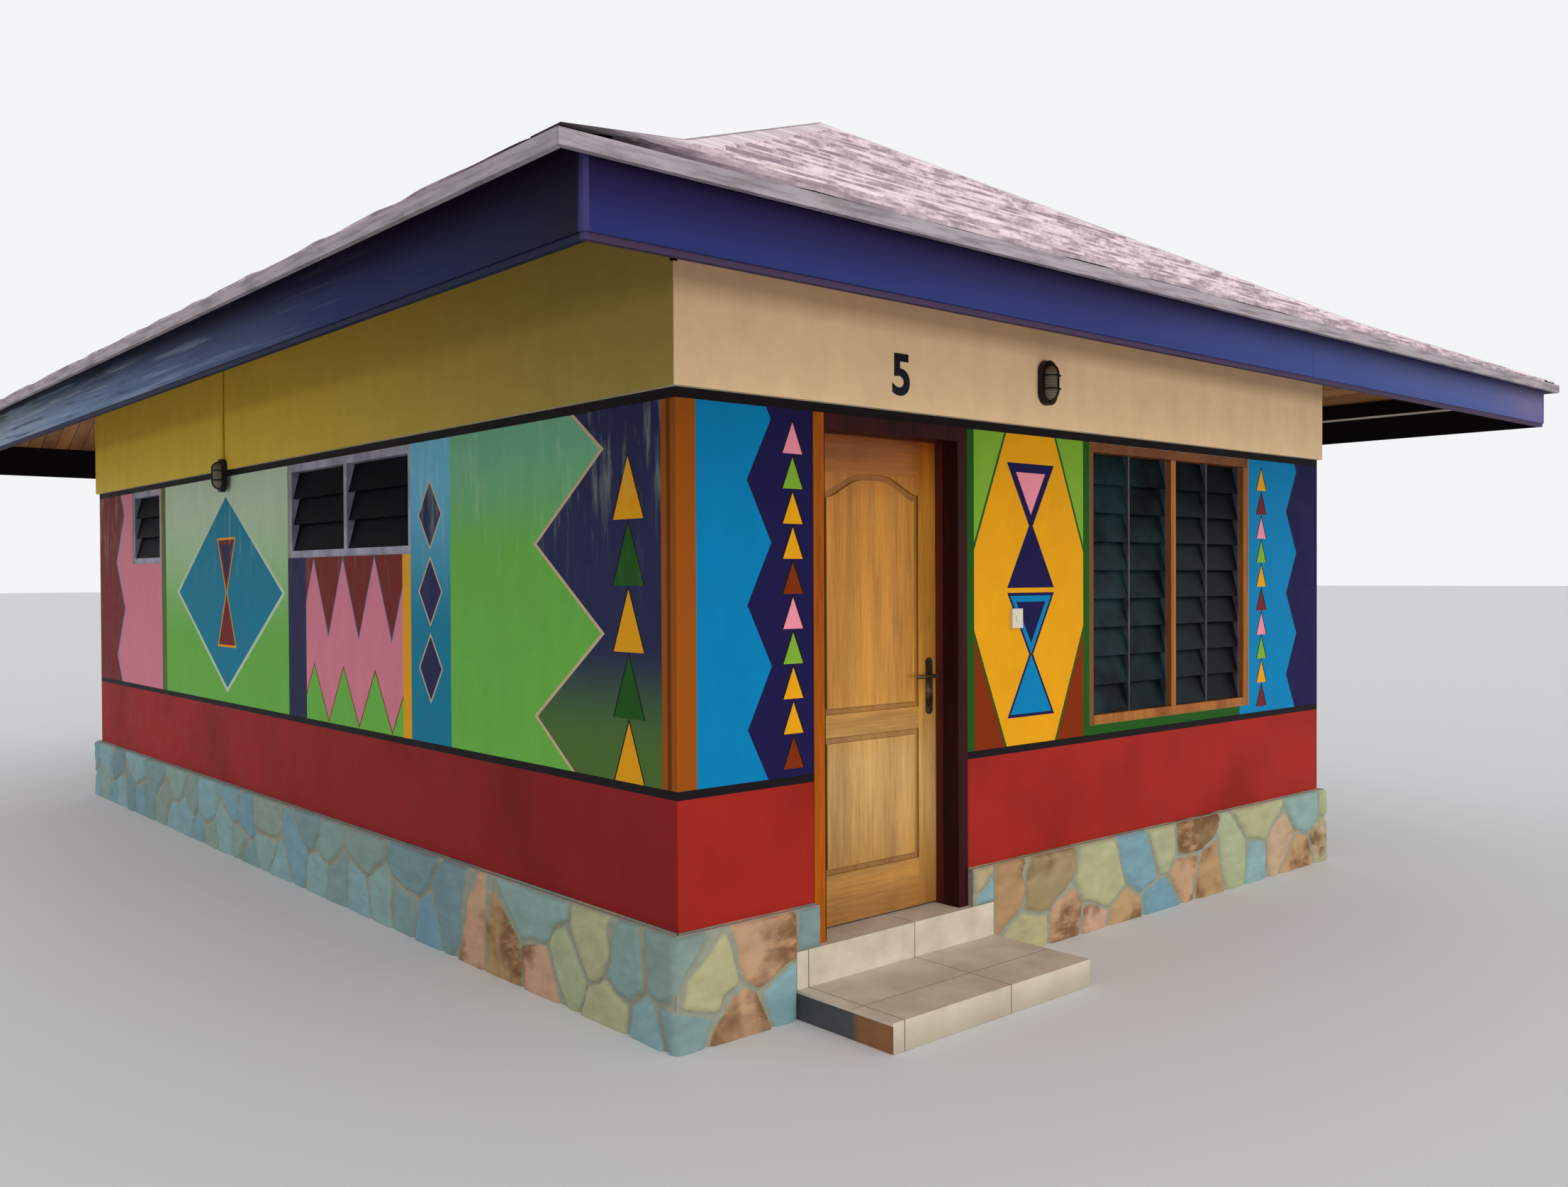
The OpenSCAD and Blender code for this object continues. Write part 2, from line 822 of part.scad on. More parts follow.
module door_leaf() {
    middle = (leaf_x0 + leaf_x1) / 2;
    color("goldenrod") difference() {
        block([leaf_x0, leaf_y0, leaf_z0], [leaf_x1, leaf_y1, leaf_z1]);
        for (panel = ["low", "high"]) {
            translate([middle, leaf_y0 + groove_deep, leaf_z0]) rotate([90, 0, 0]) panel_groove(panel);
            translate([middle, leaf_y1 - groove_deep, leaf_z0])
                mirror([0, 1, 0]) rotate([90, 0, 0]) panel_groove(panel);
        }
    }
}

// The moving halves of the hinges, which turn on the frame's pins
module leaf_hinges() {
    plate_x = leaf_x0 - hinge_plate_t;
    color("silver") for (middle = hinge_heights) {
        z_low = middle - hinge_h / 2;
        mid_low = z_low + hinge_h / 3;
        mid_high = z_low + 2 * hinge_h / 3 - knuckle_gap;
        block([plate_x, leaf_y1 - hinge_plate_w, z_low], [leaf_x0, leaf_y1, z_low + hinge_h]);
        difference() {
            union() {
                block([plate_x, leaf_y1 - cut, mid_low], [leaf_x0, hinge_y, mid_high]);
                translate([hinge_x, hinge_y, mid_low]) cylinder(r = knuckle_r, h = mid_high - mid_low);
            }
            translate([hinge_x, hinge_y, mid_low - cut])
                cylinder(r = pin_r + pin_play, h = mid_high - mid_low + 2 * cut);
        }
    }
}

// Door handle: a long plate on each face, with a lever above its middle
plate_w = 42;
plate_h = 250;
plate_t = 5;
lever_up = 45;
spindle_r = 9;
spindle_l = 45;
lever_r = 8;

// A plate with its lever, on the face that looks to -Y
module handle_side() {
    rotate([90, 0, 0]) linear_extrude(height = plate_t) oval(plate_w, plate_h);
    translate([0, 0, lever_up]) {
        rotate([90, 0, 0]) cylinder(r = spindle_r, h = spindle_l);
        translate([0, -spindle_l, 0]) sphere(r = spindle_r);
        translate([0, -spindle_l, 0]) rotate([0, -90, 0]) cylinder(r = lever_r, h = lever_l);
        translate([-lever_l, -spindle_l, 0]) sphere(r = lever_r);
    }
}

module door_handle() {
    z = leaf_z0 + lever_h - lever_up;
    color("dimgray") {
        translate([leaf_x1 - backset, leaf_y0, z]) handle_side();
        translate([leaf_x1 - backset, leaf_y1, z]) mirror([0, 1, 0]) handle_side();
    }
}

floor_slab();
plinth_front_left();
plinth_front_right();
plinth_left();
plinth_right();
plinth_back();
front_wall_left();
front_wall_over_door();
front_wall_right();
left_wall();
right_wall();
back_wall();
threshold_step();
front_step();
door_frame();
frame_hinges();
louvre_window_frame();
louvre_carriers();
louvre_blades();
left_window_frames();
left_window_panes();
right_window_frames();
right_window_panes();
back_window_frame();
back_window_panes();
soffit_and_ceiling();
fascia_front();
fascia_back();
fascia_left();
fascia_right();
eave_trim();
roof_front_slope();
roof_back_slope();
roof_left_slope();
roof_right_slope();
hip_and_ridge_caps();
front_lamp();
side_lamp();
side_lamp_conduit();
bell_push();
door_leaf();
leaf_hinges();
door_handle();
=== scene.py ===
import json
import math

import bpy
import numpy as np
from mathutils import Matrix, Vector


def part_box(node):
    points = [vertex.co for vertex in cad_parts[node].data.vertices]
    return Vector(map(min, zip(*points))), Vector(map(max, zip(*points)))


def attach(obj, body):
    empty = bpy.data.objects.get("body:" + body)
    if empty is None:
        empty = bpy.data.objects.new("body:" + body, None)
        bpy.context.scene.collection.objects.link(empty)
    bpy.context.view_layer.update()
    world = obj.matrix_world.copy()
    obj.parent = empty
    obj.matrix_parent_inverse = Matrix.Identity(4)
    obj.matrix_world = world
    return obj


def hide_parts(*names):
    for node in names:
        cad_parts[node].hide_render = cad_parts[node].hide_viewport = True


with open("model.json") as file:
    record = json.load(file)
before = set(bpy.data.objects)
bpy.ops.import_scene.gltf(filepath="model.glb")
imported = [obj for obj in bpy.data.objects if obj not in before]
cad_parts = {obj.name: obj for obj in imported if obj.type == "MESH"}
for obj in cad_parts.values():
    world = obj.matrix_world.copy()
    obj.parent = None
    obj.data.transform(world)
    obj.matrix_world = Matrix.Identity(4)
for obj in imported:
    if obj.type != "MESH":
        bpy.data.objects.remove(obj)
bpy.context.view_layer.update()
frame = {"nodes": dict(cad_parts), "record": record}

# Photograph frame and camera
PHOTO_W = 2212
SENSOR_W = 36.0
FOCAL_PX = 1848.0
CAMERA_AT = Vector((-5.179, -7.602, 1.698))
CAMERA_YAW = math.radians(41.33)
CAMERA_PITCH = math.radians(-0.70)
CAMERA_ROLL = -0.0045

# Outside faces of the walls, plinth top, floor and openings, read from the frame
WALL_LOW, WALL_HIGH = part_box("left_wall")
PLINTH_LOW, PLINTH_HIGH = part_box("plinth_left")
STEP_LOW, STEP_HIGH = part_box("front_step")
THRESHOLD_LOW, THRESHOLD_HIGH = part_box("threshold_step")
FRAME_LOW, FRAME_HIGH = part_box("door_frame")
LEAF_LOW, LEAF_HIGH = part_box("door_leaf")
LOUVRE_LOW, LOUVRE_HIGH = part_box("louvre_window_frame")
SIDE_FRAME_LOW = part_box("left_window_frames")[0]
BACK_FRAME_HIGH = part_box("back_window_frame")[1]
ROOF_LOW, ROOF_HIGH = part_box("roof_left_slope")
FRONT_SLOPE_LOW, FRONT_SLOPE_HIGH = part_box("roof_front_slope")
BACK_WALL_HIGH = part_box("back_wall")[1]
FASCIA_LOW, FASCIA_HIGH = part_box("fascia_front")
SOFFIT_LOW, SOFFIT_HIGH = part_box("soffit_and_ceiling")
CONDUIT_LOW, CONDUIT_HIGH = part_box("side_lamp_conduit")
BAND_PROUD = 0.022
BAND_X = -WALL_LOW.x
BAND_Y = BACK_WALL_HIGH.y
WALL_X = BAND_X - BAND_PROUD
WALL_Y = BAND_Y - BAND_PROUD
PLINTH_TOP = PLINTH_HIGH.z
PLINTH_X = -PLINTH_LOW.x
PLINTH_Y = PLINTH_X - WALL_X + WALL_Y
FASCIA_X = FASCIA_HIGH.x
FASCIA_Y = -FASCIA_LOW.y
FASCIA_T = FASCIA_HIGH.y - FASCIA_LOW.y
# How near to a face or an edge a point counts as on it
HAIR = 0.0006
TOUCH = 0.001

# Heights of the painted zones above the plinth top
DADO_TOP = 0.477
DADO_LINE_TOP = 0.510
FIELD_TOP = 1.925
BAND_LOW = 1.965
BAND_EDGE = BAND_LOW - TOUCH
CORNER_STRIPE = 0.09

# Ends of the painted panels, walked along a wall from its front or left corner
DOOR_END = FRAME_HIGH.x + WALL_X
LOUVRE_START = LOUVRE_LOW.x + WALL_X
LOUVRE_END = LOUVRE_HIGH.x + WALL_X
PANEL_MIDDLE = (DOOR_END + LOUVRE_START) / 2
PANEL_HALF = (LOUVRE_START - DOOR_END) / 2
LIME_END = 1.72
WINDOW_START = SIDE_FRAME_LOW.y + WALL_Y
WINDOW_END = 3.686
WINDOW_SILL = 1.40
PALE_END = 5.95

# The golden panel's edge, the flare of its ends and its hourglasses, the pitch of the triangles
# under a sill, and how far a design runs on behind the frames
PANEL_EDGE = 0.05
FLARE_HALF = 0.19
FLARE_PITCH = 0.42
HOURGLASS = (0.30, 0.54)
TOOTH_PITCH = 0.39
UNDER_FRAME = 0.1

# Widths of the louvre frame's stiles and the door frame's jambs, and the depth of its arris
LOUVRE_STILE = 0.05
JAMB_W = 0.056
ARRIS_IN = 0.089

# Tiles of the steps: their width, half their joint, and the level joint before the tread's back
TILE_W = 0.60
TILE_JOINT = 0.0022
TREAD_JOINT = 0.30

# A tongued board under the eaves, and the share of it that its joint takes
SOFFIT_BOARD_W = 0.10
SOFFIT_JOINT = 0.05

# Form of the roof: flatter next to the eaves, steeper above
ROOF_X = -ROOF_LOW.x
ROOF_Y = -FRONT_SLOPE_LOW.y
HIP_RUN = ROOF_Y + FRONT_SLOPE_HIGH.y
CAST_SHARE = 0.28
CAST_DROP = 0.058
ROOF_BOARD = 0.028
RIDGE_Z = ROOF_HIGH.z
EAVE_Z = ROOF_LOW.z + ROOF_BOARD
ROOF_RISE = RIDGE_Z - EAVE_Z
CAST_RISE = ROOF_RISE * CAST_SHARE - CAST_DROP

# The fascias' beads and corner posts, the boards under the eaves, and the batten
FASCIA_BEAD = 0.0195
FASCIA_CORNER = 0.018
SOFFIT_DROP = 0.046
SOFFIT_T = SOFFIT_HIGH.z - SOFFIT_LOW.z
HEAD_T = 0.02
BATTEN = 0.012
BATTEN_Z = 2.72
EAVE_STEPS = 80
EAVE_LINES = 9
CONDUIT_SIDES = 20

# Rails of the door leaf above its foot, and the half width between its stiles
BOTTOM_RAIL = 0.208
MIDDLE_RAIL = 0.8205
MIDDLE_RAIL_HALF = 0.0465
TOP_RAIL = 1.866
RAIL_HALF = 0.2865
GROOVE_HALF = 0.0195

# Glass of the guarded lamps: a capsule round an upright axis in the base's front face
LAMP_BASE = 0.030
LAMP_GLASS_R = 0.0424
LAMP_GLASS_HALF = 0.038
LAMP_RIB = 0.012

# Shingles: tabs, with the shares that a slot takes across and up, courses, waves and curl
TAB_W = 0.305
SLOT_W = 0.035
SLOT_H = 0.93
COURSE_RISE = 0.066
COURSE_CELL = 0.045
COURSE_HAIR = 0.02
BUTT_T = 0.010
LAP_T = 0.001
FOOT_DROP = 0.004
BROAD_SAG = 0.016
FINE_SAG = 0.008
CURL = 0.009
# Caps: how far under their edges the butts are still full, the width over which they get thin and
# the share that is left, and the laps in height and in length
CAP_W = 0.13
CAP_COVER = 0.03
CAP_FADE = 0.05
CAP_THINNEST = 0.35
CAP_LAP_Z = 0.062
CAP_LAP_Y = 0.15

# Facing stones: two rows of centres, laid out for a facing of one height and fitted to others, the
# upper one with gaps; a stone's rounded edge, tilt and roughness, and the facing's upper rim
STONE_T = 0.016
JOINT_HALF = 0.005
STONE_PITCH = 0.25
STONE_CELL = 0.0135
LAID_HEIGHT = 0.42
UPPER_SHARE = 0.72
STONE_SQUASH = 0.85
STONE_REACH = 0.9
STONE_EDGE = 0.016
STONE_TILT = 0.030
STONE_LEAN = 0.006
STONE_ROUGH = 0.007
MORTAR_OUT = 0.002
RIM_DROP = 0.004
RIM_ROUND = 0.012
LEDGE_IN = 0.028
LEDGE_RISE = 0.002
CORNER_R = 0.02
CORNER_STEPS = 7
# The part of the walk round the plinth, from the door along the left side, with the colder stones,
# and the share of the tones that they take theirs from
COLD_START = 2.3
COLD_END = 8.42
COLD_SHARE = 0.42

# Side of the table of random numbers behind value_noise
LATTICE = 64

SEED = 7


def operation(kind, reflected=False):
    """A method that adds one Math node, with the value itself first, or last if reflected."""
    def apply(value, *others):
        values = (*others, value) if reflected else (value, *others)
        return value.finish.node("ShaderNodeMath", {"operation": kind}, dict(enumerate(values)))
    return apply


class Value:
    """One socket of a material's node tree. Sums and comparisons on it add Math nodes."""

    def __init__(self, finish, socket):
        self.finish = finish
        self.socket = socket

    __add__ = __radd__ = operation("ADD")
    __mul__ = __rmul__ = operation("MULTIPLY")
    __sub__ = operation("SUBTRACT")
    __rsub__ = operation("SUBTRACT", reflected=True)
    __truediv__ = operation("DIVIDE")
    __lt__ = operation("LESS_THAN")
    __gt__ = operation("GREATER_THAN")
    __abs__ = operation("ABSOLUTE")
    fract = operation("FRACT")
    floor = operation("FLOOR")
    least = operation("MINIMUM")
    most = operation("MAXIMUM")
    power = operation("POWER")

    def smooth(self, low, high):
        """0 under low, 1 over high, an S-curve between."""
        settings = {"interpolation_type": "SMOOTHSTEP"}
        sockets = {"Value": self, "From Min": low, "From Max": high}
        return self.finish.node("ShaderNodeMapRange", settings, sockets)

    def wave(self):
        """A triangle wave of period 1 that runs from 1 down to 0 and back."""
        return abs(self.fract() * 2 - 1)


class Finish:
    """A material: its node tree, its shader and the object coordinates that its patterns read."""

    def __init__(self, name, **constants):
        self.material = bpy.data.materials.new(name)
        self.material.use_nodes = True
        self.tree = self.material.node_tree
        self.shader = self.tree.nodes["Principled BSDF"]
        for socket, value in constants.items():
            self.shader.inputs[socket.replace("_", " ")].default_value = value
        self.place = self.node("ShaderNodeTexCoord", output="Object")
        parts = self.node("ShaderNodeSeparateXYZ", {}, {0: self.place}).socket.node
        self.x, self.y, self.z = (Value(self, parts.outputs[i]) for i in range(3))

    def node(self, kind, settings=None, sockets=None, output=0):
        """Adds one node: settings first, then its sockets' values or links. Gives one output."""
        made = self.tree.nodes.new(kind)
        for key, value in (settings or {}).items():
            if key == "stops":
                self.set_stops(made.color_ramp, value)
            else:
                setattr(made, key, value)
        for key, value in (sockets or {}).items():
            self.feed(made.inputs[key], value)
        return Value(self, made.outputs[output])

    def set_stops(self, ramp, stops):
        while len(ramp.elements) < len(stops):
            ramp.elements.new(1.0)
        for element, (position, colour) in zip(ramp.elements, stops):
            element.position = position
            element.color = (*colour, 1.0)

    def feed(self, socket, value):
        if isinstance(value, Value):
            self.tree.links.new(value.socket, socket)
        elif hasattr(value, "__len__") and len(value) == 3 and len(socket.default_value) == 4:
            socket.default_value = (*value, 1.0)
        else:
            socket.default_value = value

    def done(self, relief=None, **sockets):
        """Feeds the shader, with a relief from a height, a distance and a strength, and gives the
        material."""
        if relief:
            values = dict(zip(("Height", "Distance", "Strength"), relief))
            sockets["Normal"] = self.node("ShaderNodeBump", {}, values)
        for socket, value in sockets.items():
            self.feed(self.shader.inputs[socket.replace("_", " ")], value)
        return self.material

    def mix(self, a, b, factor):
        """The colour a where the factor is 0, b where it is 1."""
        return self.node("ShaderNodeMix", {"data_type": "RGBA"}, {0: factor, 6: a, 7: b}, output=2)

    def cover(self, colour, *coats):
        """A colour under coats, each given by its own colour and factor."""
        for coat, factor in coats:
            colour = self.mix(colour, coat, factor)
        return colour

    def tint(self, colour, factor):
        """A colour made lighter or darker by a factor that varies."""
        return self.node("ShaderNodeVectorMath", {"operation": "SCALE"}, {0: colour, "Scale": factor})

    def ramp(self, value, *stops, interpolation="LINEAR"):
        made = self.node("ShaderNodeValToRGB", {"stops": stops}, {0: value})
        made.socket.node.color_ramp.interpolation = interpolation
        return made

    def stretched(self, x, y, z):
        """The place with each axis multiplied, so that a pattern is short along a large factor."""
        sockets = {0: self.place, 1: (x, y, z)}
        return self.node("ShaderNodeVectorMath", {"operation": "MULTIPLY"}, sockets)

    def noise(self, scale, detail=3.0, roughness=0.5, at=None):
        sockets = {"Vector": at or self.place, "Scale": scale,
                   "Detail": detail, "Roughness": roughness}
        return self.node("ShaderNodeTexNoise", {}, sockets)

    def point(self, x, y):
        return self.node("ShaderNodeCombineXYZ", {}, {0: x, 1: y})

    def chance(self, a, b):
        """A random number from 0 to 1 for each pair of whole numbers."""
        sockets = {"Vector": self.point(a, b)}
        return self.node("ShaderNodeTexWhiteNoise", {"noise_dimensions": "3D"}, sockets)

    def attribute(self, name):
        return self.node("ShaderNodeAttribute", {"attribute_name": name}, {}, output="Fac")


# Paint colours
BRICK_RED = (0.340, 0.020, 0.014)
# Side wall dado: darker near the front corner as painted shade, lighter towards the far end.
SHADED_SIDE_RED = (0.250, 0.014, 0.014)
FAR_RED = (0.330, 0.018, 0.017)
LINE_BLACK = (0.010, 0.007, 0.009)
CREAM_BAND = (0.870, 0.630, 0.370)
# Side band: mustard darker near the front corner as painted shade, brighter further back.
SHADED_MUSTARD_NEAR = (0.370, 0.280, 0.070)
MUSTARD_FAR = (0.700, 0.500, 0.055)
INNER_CREAM = (0.560, 0.480, 0.340)
CREAM = (0.560, 0.400, 0.250)
SKY = (0.001, 0.195, 0.420)
PALE_SKY = (0.150, 0.460, 0.640)
TEAL = (0.006, 0.190, 0.300)
NAVY = (0.010, 0.008, 0.060)
SIDE_NAVY = (0.020, 0.022, 0.075)
OLIVE = (0.070, 0.150, 0.030)
GOLD = (0.740, 0.330, 0.006)
LEAF_GREEN = (0.190, 0.380, 0.030)
LIME = (0.140, 0.430, 0.060)
# Painted sheen: the pale lime that the lime green fades to towards the top.
PALE_LIME_SHEEN = (0.160, 0.430, 0.250)
PALE_GREEN = (0.480, 0.600, 0.430)
PINK = (0.780, 0.260, 0.330)
SIDE_PINK = (0.640, 0.200, 0.270)
BROWN = (0.200, 0.024, 0.002)
MAROON = (0.170, 0.018, 0.018)
DARK_GREEN = (0.014, 0.085, 0.009)
ORANGE_BROWN = (0.300, 0.075, 0.005)


def lay(f, under, shape, colour, line=0.0, line_colour=CREAM):
    """Paints a shape over a colour, with an outline. The shape is under 0 inside."""
    if line:
        under = f.mix(under, line_colour, shape < line)
    return f.mix(under, colour, shape < 0.0)


def zigzag(u, v, first, pitch, reach):
    """Distance past an upright edge that moves out from first by reach with a triangle wave of v."""
    return u - ((v / pitch).wave() * reach + first)


def teeth(u, v, base, pitch, reach):
    """A row of triangles on a level base: the distance from it, less a triangle wave of u."""
    return abs(v - base) - (u / pitch).wave() * reach


def lozenge(u, v, centre, half):
    """The sum of the shares of the two half sizes, less 1, in units of the smaller half size."""
    across = abs(u - centre[0]) / half[0]
    up = abs(v - centre[1]) / half[1]
    return (across + up - 1) * min(half)


def triangle_column(f, colour, u, v, centre, size, reach, colours):
    """Small triangles, one above another from reach[0] to reach[1], each in the next colour."""
    step = (v / size).floor()
    half = (1 - (v / size).fract()) * (size * 0.42)
    inside = (abs(u - centre) - half + 0.006).most(reach[0] - v).most(v - reach[1])
    stops = [(i / len(colours), c) for i, c in enumerate(colours)]
    pick = f.ramp((step / len(colours)).fract() + 0.001, *stops, interpolation="CONSTANT")
    return lay(f, colour, inside, pick, line=0.008, line_colour=LINE_BLACK)


def hourglass(f, colour, u, v, centre, size, fill, second, line_colour):
    """Two triangles that meet at their points, one above the other, with an outline."""
    up = abs(v - centre[1])
    shape = (abs(u - centre[0]) - up * (size[0] / size[1])).most(up - size[1] / 2)
    colour = lay(f, colour, shape, fill, line=0.014, line_colour=line_colour)
    return f.mix(colour, second, (shape < -0.028) * (v > centre[1]))


def blue_end(f, u, v, first, column, colours):
    """Blue before a zigzag edge and navy past it, with a column of small triangles."""
    colour = lay(f, SKY, -1 * zigzag(u, v, first, 0.47, 0.12), NAVY)
    return triangle_column(f, colour, u, v, column, 0.135, (0.54, 1.876), colours)


def sill_triangles(f, ground, u, v, line, hung, standing):
    """A row of triangles at the sill's level and one at the dado's line, half a pitch aside. Each
    has a colour and the colour of its outline."""
    upper = teeth(u, v, WINDOW_SILL, TOOTH_PITCH, 0.42)
    lower = teeth(u + TOOTH_PITCH / 2, v, DADO_LINE_TOP, TOOTH_PITCH, 0.30)
    colour = lay(f, ground, upper, hung[0], line, hung[1])
    return lay(f, colour, lower, standing[0], line, standing[1])


def lime_with_painted_sheen(f, v):
    """Lime green, paler towards the top of the field with a painted sheen."""
    return f.mix(LIME, PALE_LIME_SHEEN, v.smooth(1.35, 1.85))


def front_design(f, u, v):
    """The front wall's painted field: blue at both ends, and a golden panel beside the door."""
    left = blue_end(f, u, v, 0.33, 0.56, (GOLD, LEAF_GREEN, PINK, SKY, BROWN))
    past = abs(u - PANEL_MIDDLE)
    top = FLARE_HALF + (FIELD_TOP - v) * FLARE_PITCH - past
    foot = FLARE_HALF + (v - DADO_LINE_TOP) * FLARE_PITCH - past
    panel = lay(f, GOLD, top, LEAF_GREEN, line=0.014, line_colour=DARK_GREEN)
    panel = lay(f, panel, foot, BROWN, line=0.014, line_colour=DARK_GREEN)
    panel = hourglass(f, panel, u, v, (PANEL_MIDDLE, 1.51), HOURGLASS, NAVY, PINK, NAVY)
    panel = hourglass(f, panel, u, v, (PANEL_MIDDLE, 0.92), HOURGLASS, SKY, NAVY, NAVY)
    panel = f.mix(panel, DARK_GREEN, past > PANEL_HALF - PANEL_EDGE)
    right = blue_end(f, u, v, 4.38, 4.10, (MAROON, GOLD, LEAF_GREEN, PINK))
    return f.cover(left, (panel, u > DOOR_END - UNDER_FRAME), (right, u > LOUVRE_END - UNDER_FRAME))


def back_design(f, x, v):
    """The back wall's painted field, alike to both sides: blue, navy and green, and a golden panel
    under the window with brown triangles above and green ones below."""
    u = WALL_X - abs(x)
    colour = blue_end(f, u, v, 0.33, 0.56, (GOLD, LEAF_GREEN, PINK, SKY, BROWN))
    panel = sill_triangles(f, GOLD, x, v, 0.014, (BROWN, DARK_GREEN), (LEAF_GREEN, CREAM))
    return f.cover(colour, (lime_with_painted_sheen(f, v), u > 0.95), (panel, abs(x) < BACK_FRAME_HIGH.x))


def under_window_design(f, u, v):
    """Pink below the wide window: maroon triangles hang from the sill and green ones stand below."""
    colour = sill_triangles(f, SIDE_PINK, u, v, 0.016, (MAROON, TEAL), (LIME, BROWN))
    return f.cover(colour, (GOLD, u < WINDOW_START + 0.09), (SIDE_NAVY, u > WINDOW_END - 0.26))


def side_design(f, u, v):
    """A side wall's painted field: navy against green, blue, pink, pale green and pink panels; the
    green and the blue grow paler towards the top with a painted sheen.
    """
    dark = f.mix(OLIVE, SIDE_NAVY, v.smooth(0.62, 1.05))
    front = lay(f, lime_with_painted_sheen(f, v), zigzag(u, v, 0.46, 0.71, 0.50), dark, line=0.026)
    front = triangle_column(f, front, u, v, 0.30, 0.25, (0.50, 1.736), (GOLD, DARK_GREEN))
    # Painted sheen: the teal grows paler towards the top.
    sky = f.mix(TEAL, PALE_SKY, v.smooth(1.0, 1.9))
    middle = (LIME_END + WINDOW_START) / 2
    for level in (0.86, 1.22, 1.58):
        sky = lay(f, sky, lozenge(u, v, (middle, level), (0.11, 0.15)), SIDE_NAVY, line=0.012)
    front = f.mix(front, sky, u > LIME_END)
    # Painted sheen: the lime grows paler towards the top.
    pale = f.mix(LIME, PALE_GREEN, v.smooth(0.85, 1.85))
    centre = (WINDOW_END + PALE_END) / 2 - 0.10
    wide = lozenge(u, v, (centre, 1.20), (0.94, 0.60))
    pale = lay(f, pale, wide, TEAL, line=0.03, line_colour=PALE_GREEN)
    pale = hourglass(f, pale, u, v, (centre, 1.20), (0.30, 0.66), MAROON, SIDE_NAVY, GOLD)
    rear = lay(f, SIDE_PINK, -1 * zigzag(u, v, 6.98, 0.71, 0.22), MAROON, line=0.02, line_colour=TEAL)
    rear = f.mix(rear, OLIVE, u < PALE_END + 0.10)
    below = under_window_design(f, u, v)
    return f.cover(front, (below, u > WINDOW_START), (pale, u > WINDOW_END), (rear, u > PALE_END))


def wall_paint():
    """Painted render: dado, black lines, painted field and upper band, chosen by the face's place."""
    f = Finish("wall_paint", Specular_IOR_Level=0.08)
    v = f.z - PLINTH_TOP
    on_band = v > BAND_EDGE
    proud = on_band * BAND_PROUD
    front = f.y < HAIR - WALL_Y - proud
    back = f.y > WALL_Y - HAIR + proud
    left = f.x < HAIR - WALL_X - proud
    right = f.x > WALL_X - HAIR + proud
    beside = (left + right).least(1.0) * (1 - front)
    long_u = f.y + WALL_Y
    across_u = f.x + WALL_X
    brush = f.noise(9.0, 4.0, 0.6)
    streak = f.noise(2.4, 3.0, 0.55, f.stretched(3.0, 3.0, 0.5))
    painted_sheen = f.noise(5.0, 4.0, 0.6, f.stretched(4.0, 4.0, 0.6))
    side = side_design(f, long_u, v)
    # Painted sheen: pale green patches over the upper part of the side walls.
    side = f.mix(side, PALE_GREEN, painted_sheen.smooth(0.50, 0.72) * v.smooth(1.1, 1.8) * 0.30)
    field = f.mix(side, front_design(f, across_u, v), front)
    field = f.mix(field, back_design(f, f.x, v), back)
    stripe = (across_u < CORNER_STRIPE) * (long_u < CORNER_STRIPE)
    middle = abs(long_u - CORNER_STRIPE / 2) < 0.012
    rounded = f.mix(ORANGE_BROWN, f.tint(ORANGE_BROWN, 0.45), middle * beside)
    field = f.mix(field, rounded, stripe)
    # The side band runs from painted shade near the front corner to the far mustard.
    mustard = f.mix(SHADED_MUSTARD_NEAR, MUSTARD_FAR, long_u.smooth(-0.5, 5.0))
    band = f.mix(CREAM_BAND, mustard, beside)
    # The side dado runs from painted shade near the front corner to the far red.
    red = f.mix(BRICK_RED, f.mix(SHADED_SIDE_RED, FAR_RED, long_u.smooth(1.0, 6.5)), beside)
    dado = f.mix(red, f.tint(red, 0.72), f.noise(1.3, 2.0).smooth(0.40, 0.75))
    lines = (LINE_BLACK, (v > FIELD_TOP) * (v < BAND_EDGE)), (LINE_BLACK, v < DADO_LINE_TOP)
    colour = f.cover(field, (band, on_band), *lines, (dado, v < DADO_TOP))
    outside = (front + back + left + right).least(1.0)
    colour = f.mix(INNER_CREAM, colour, outside)
    colour = f.tint(colour, 0.82 + brush * 0.20 + streak * 0.16)
    relief = (brush * 0.6 + f.noise(90.0, 2.0) * 0.4, 0.004, 0.35)
    return f.done(Base_Color=colour, Roughness=0.45 + brush * 0.3, relief=relief)


def mortar():
    """Pale grey-brown mortar under and between the facing stones."""
    f = Finish("mortar", Roughness=0.9, Specular_IOR_Level=0.25)
    grit = f.noise(60.0, 4.0)
    colour = f.tint((0.30, 0.27, 0.22), 0.7 + grit * 0.6)
    return f.done(Base_Color=colour, relief=(grit, 0.004, 0.6))


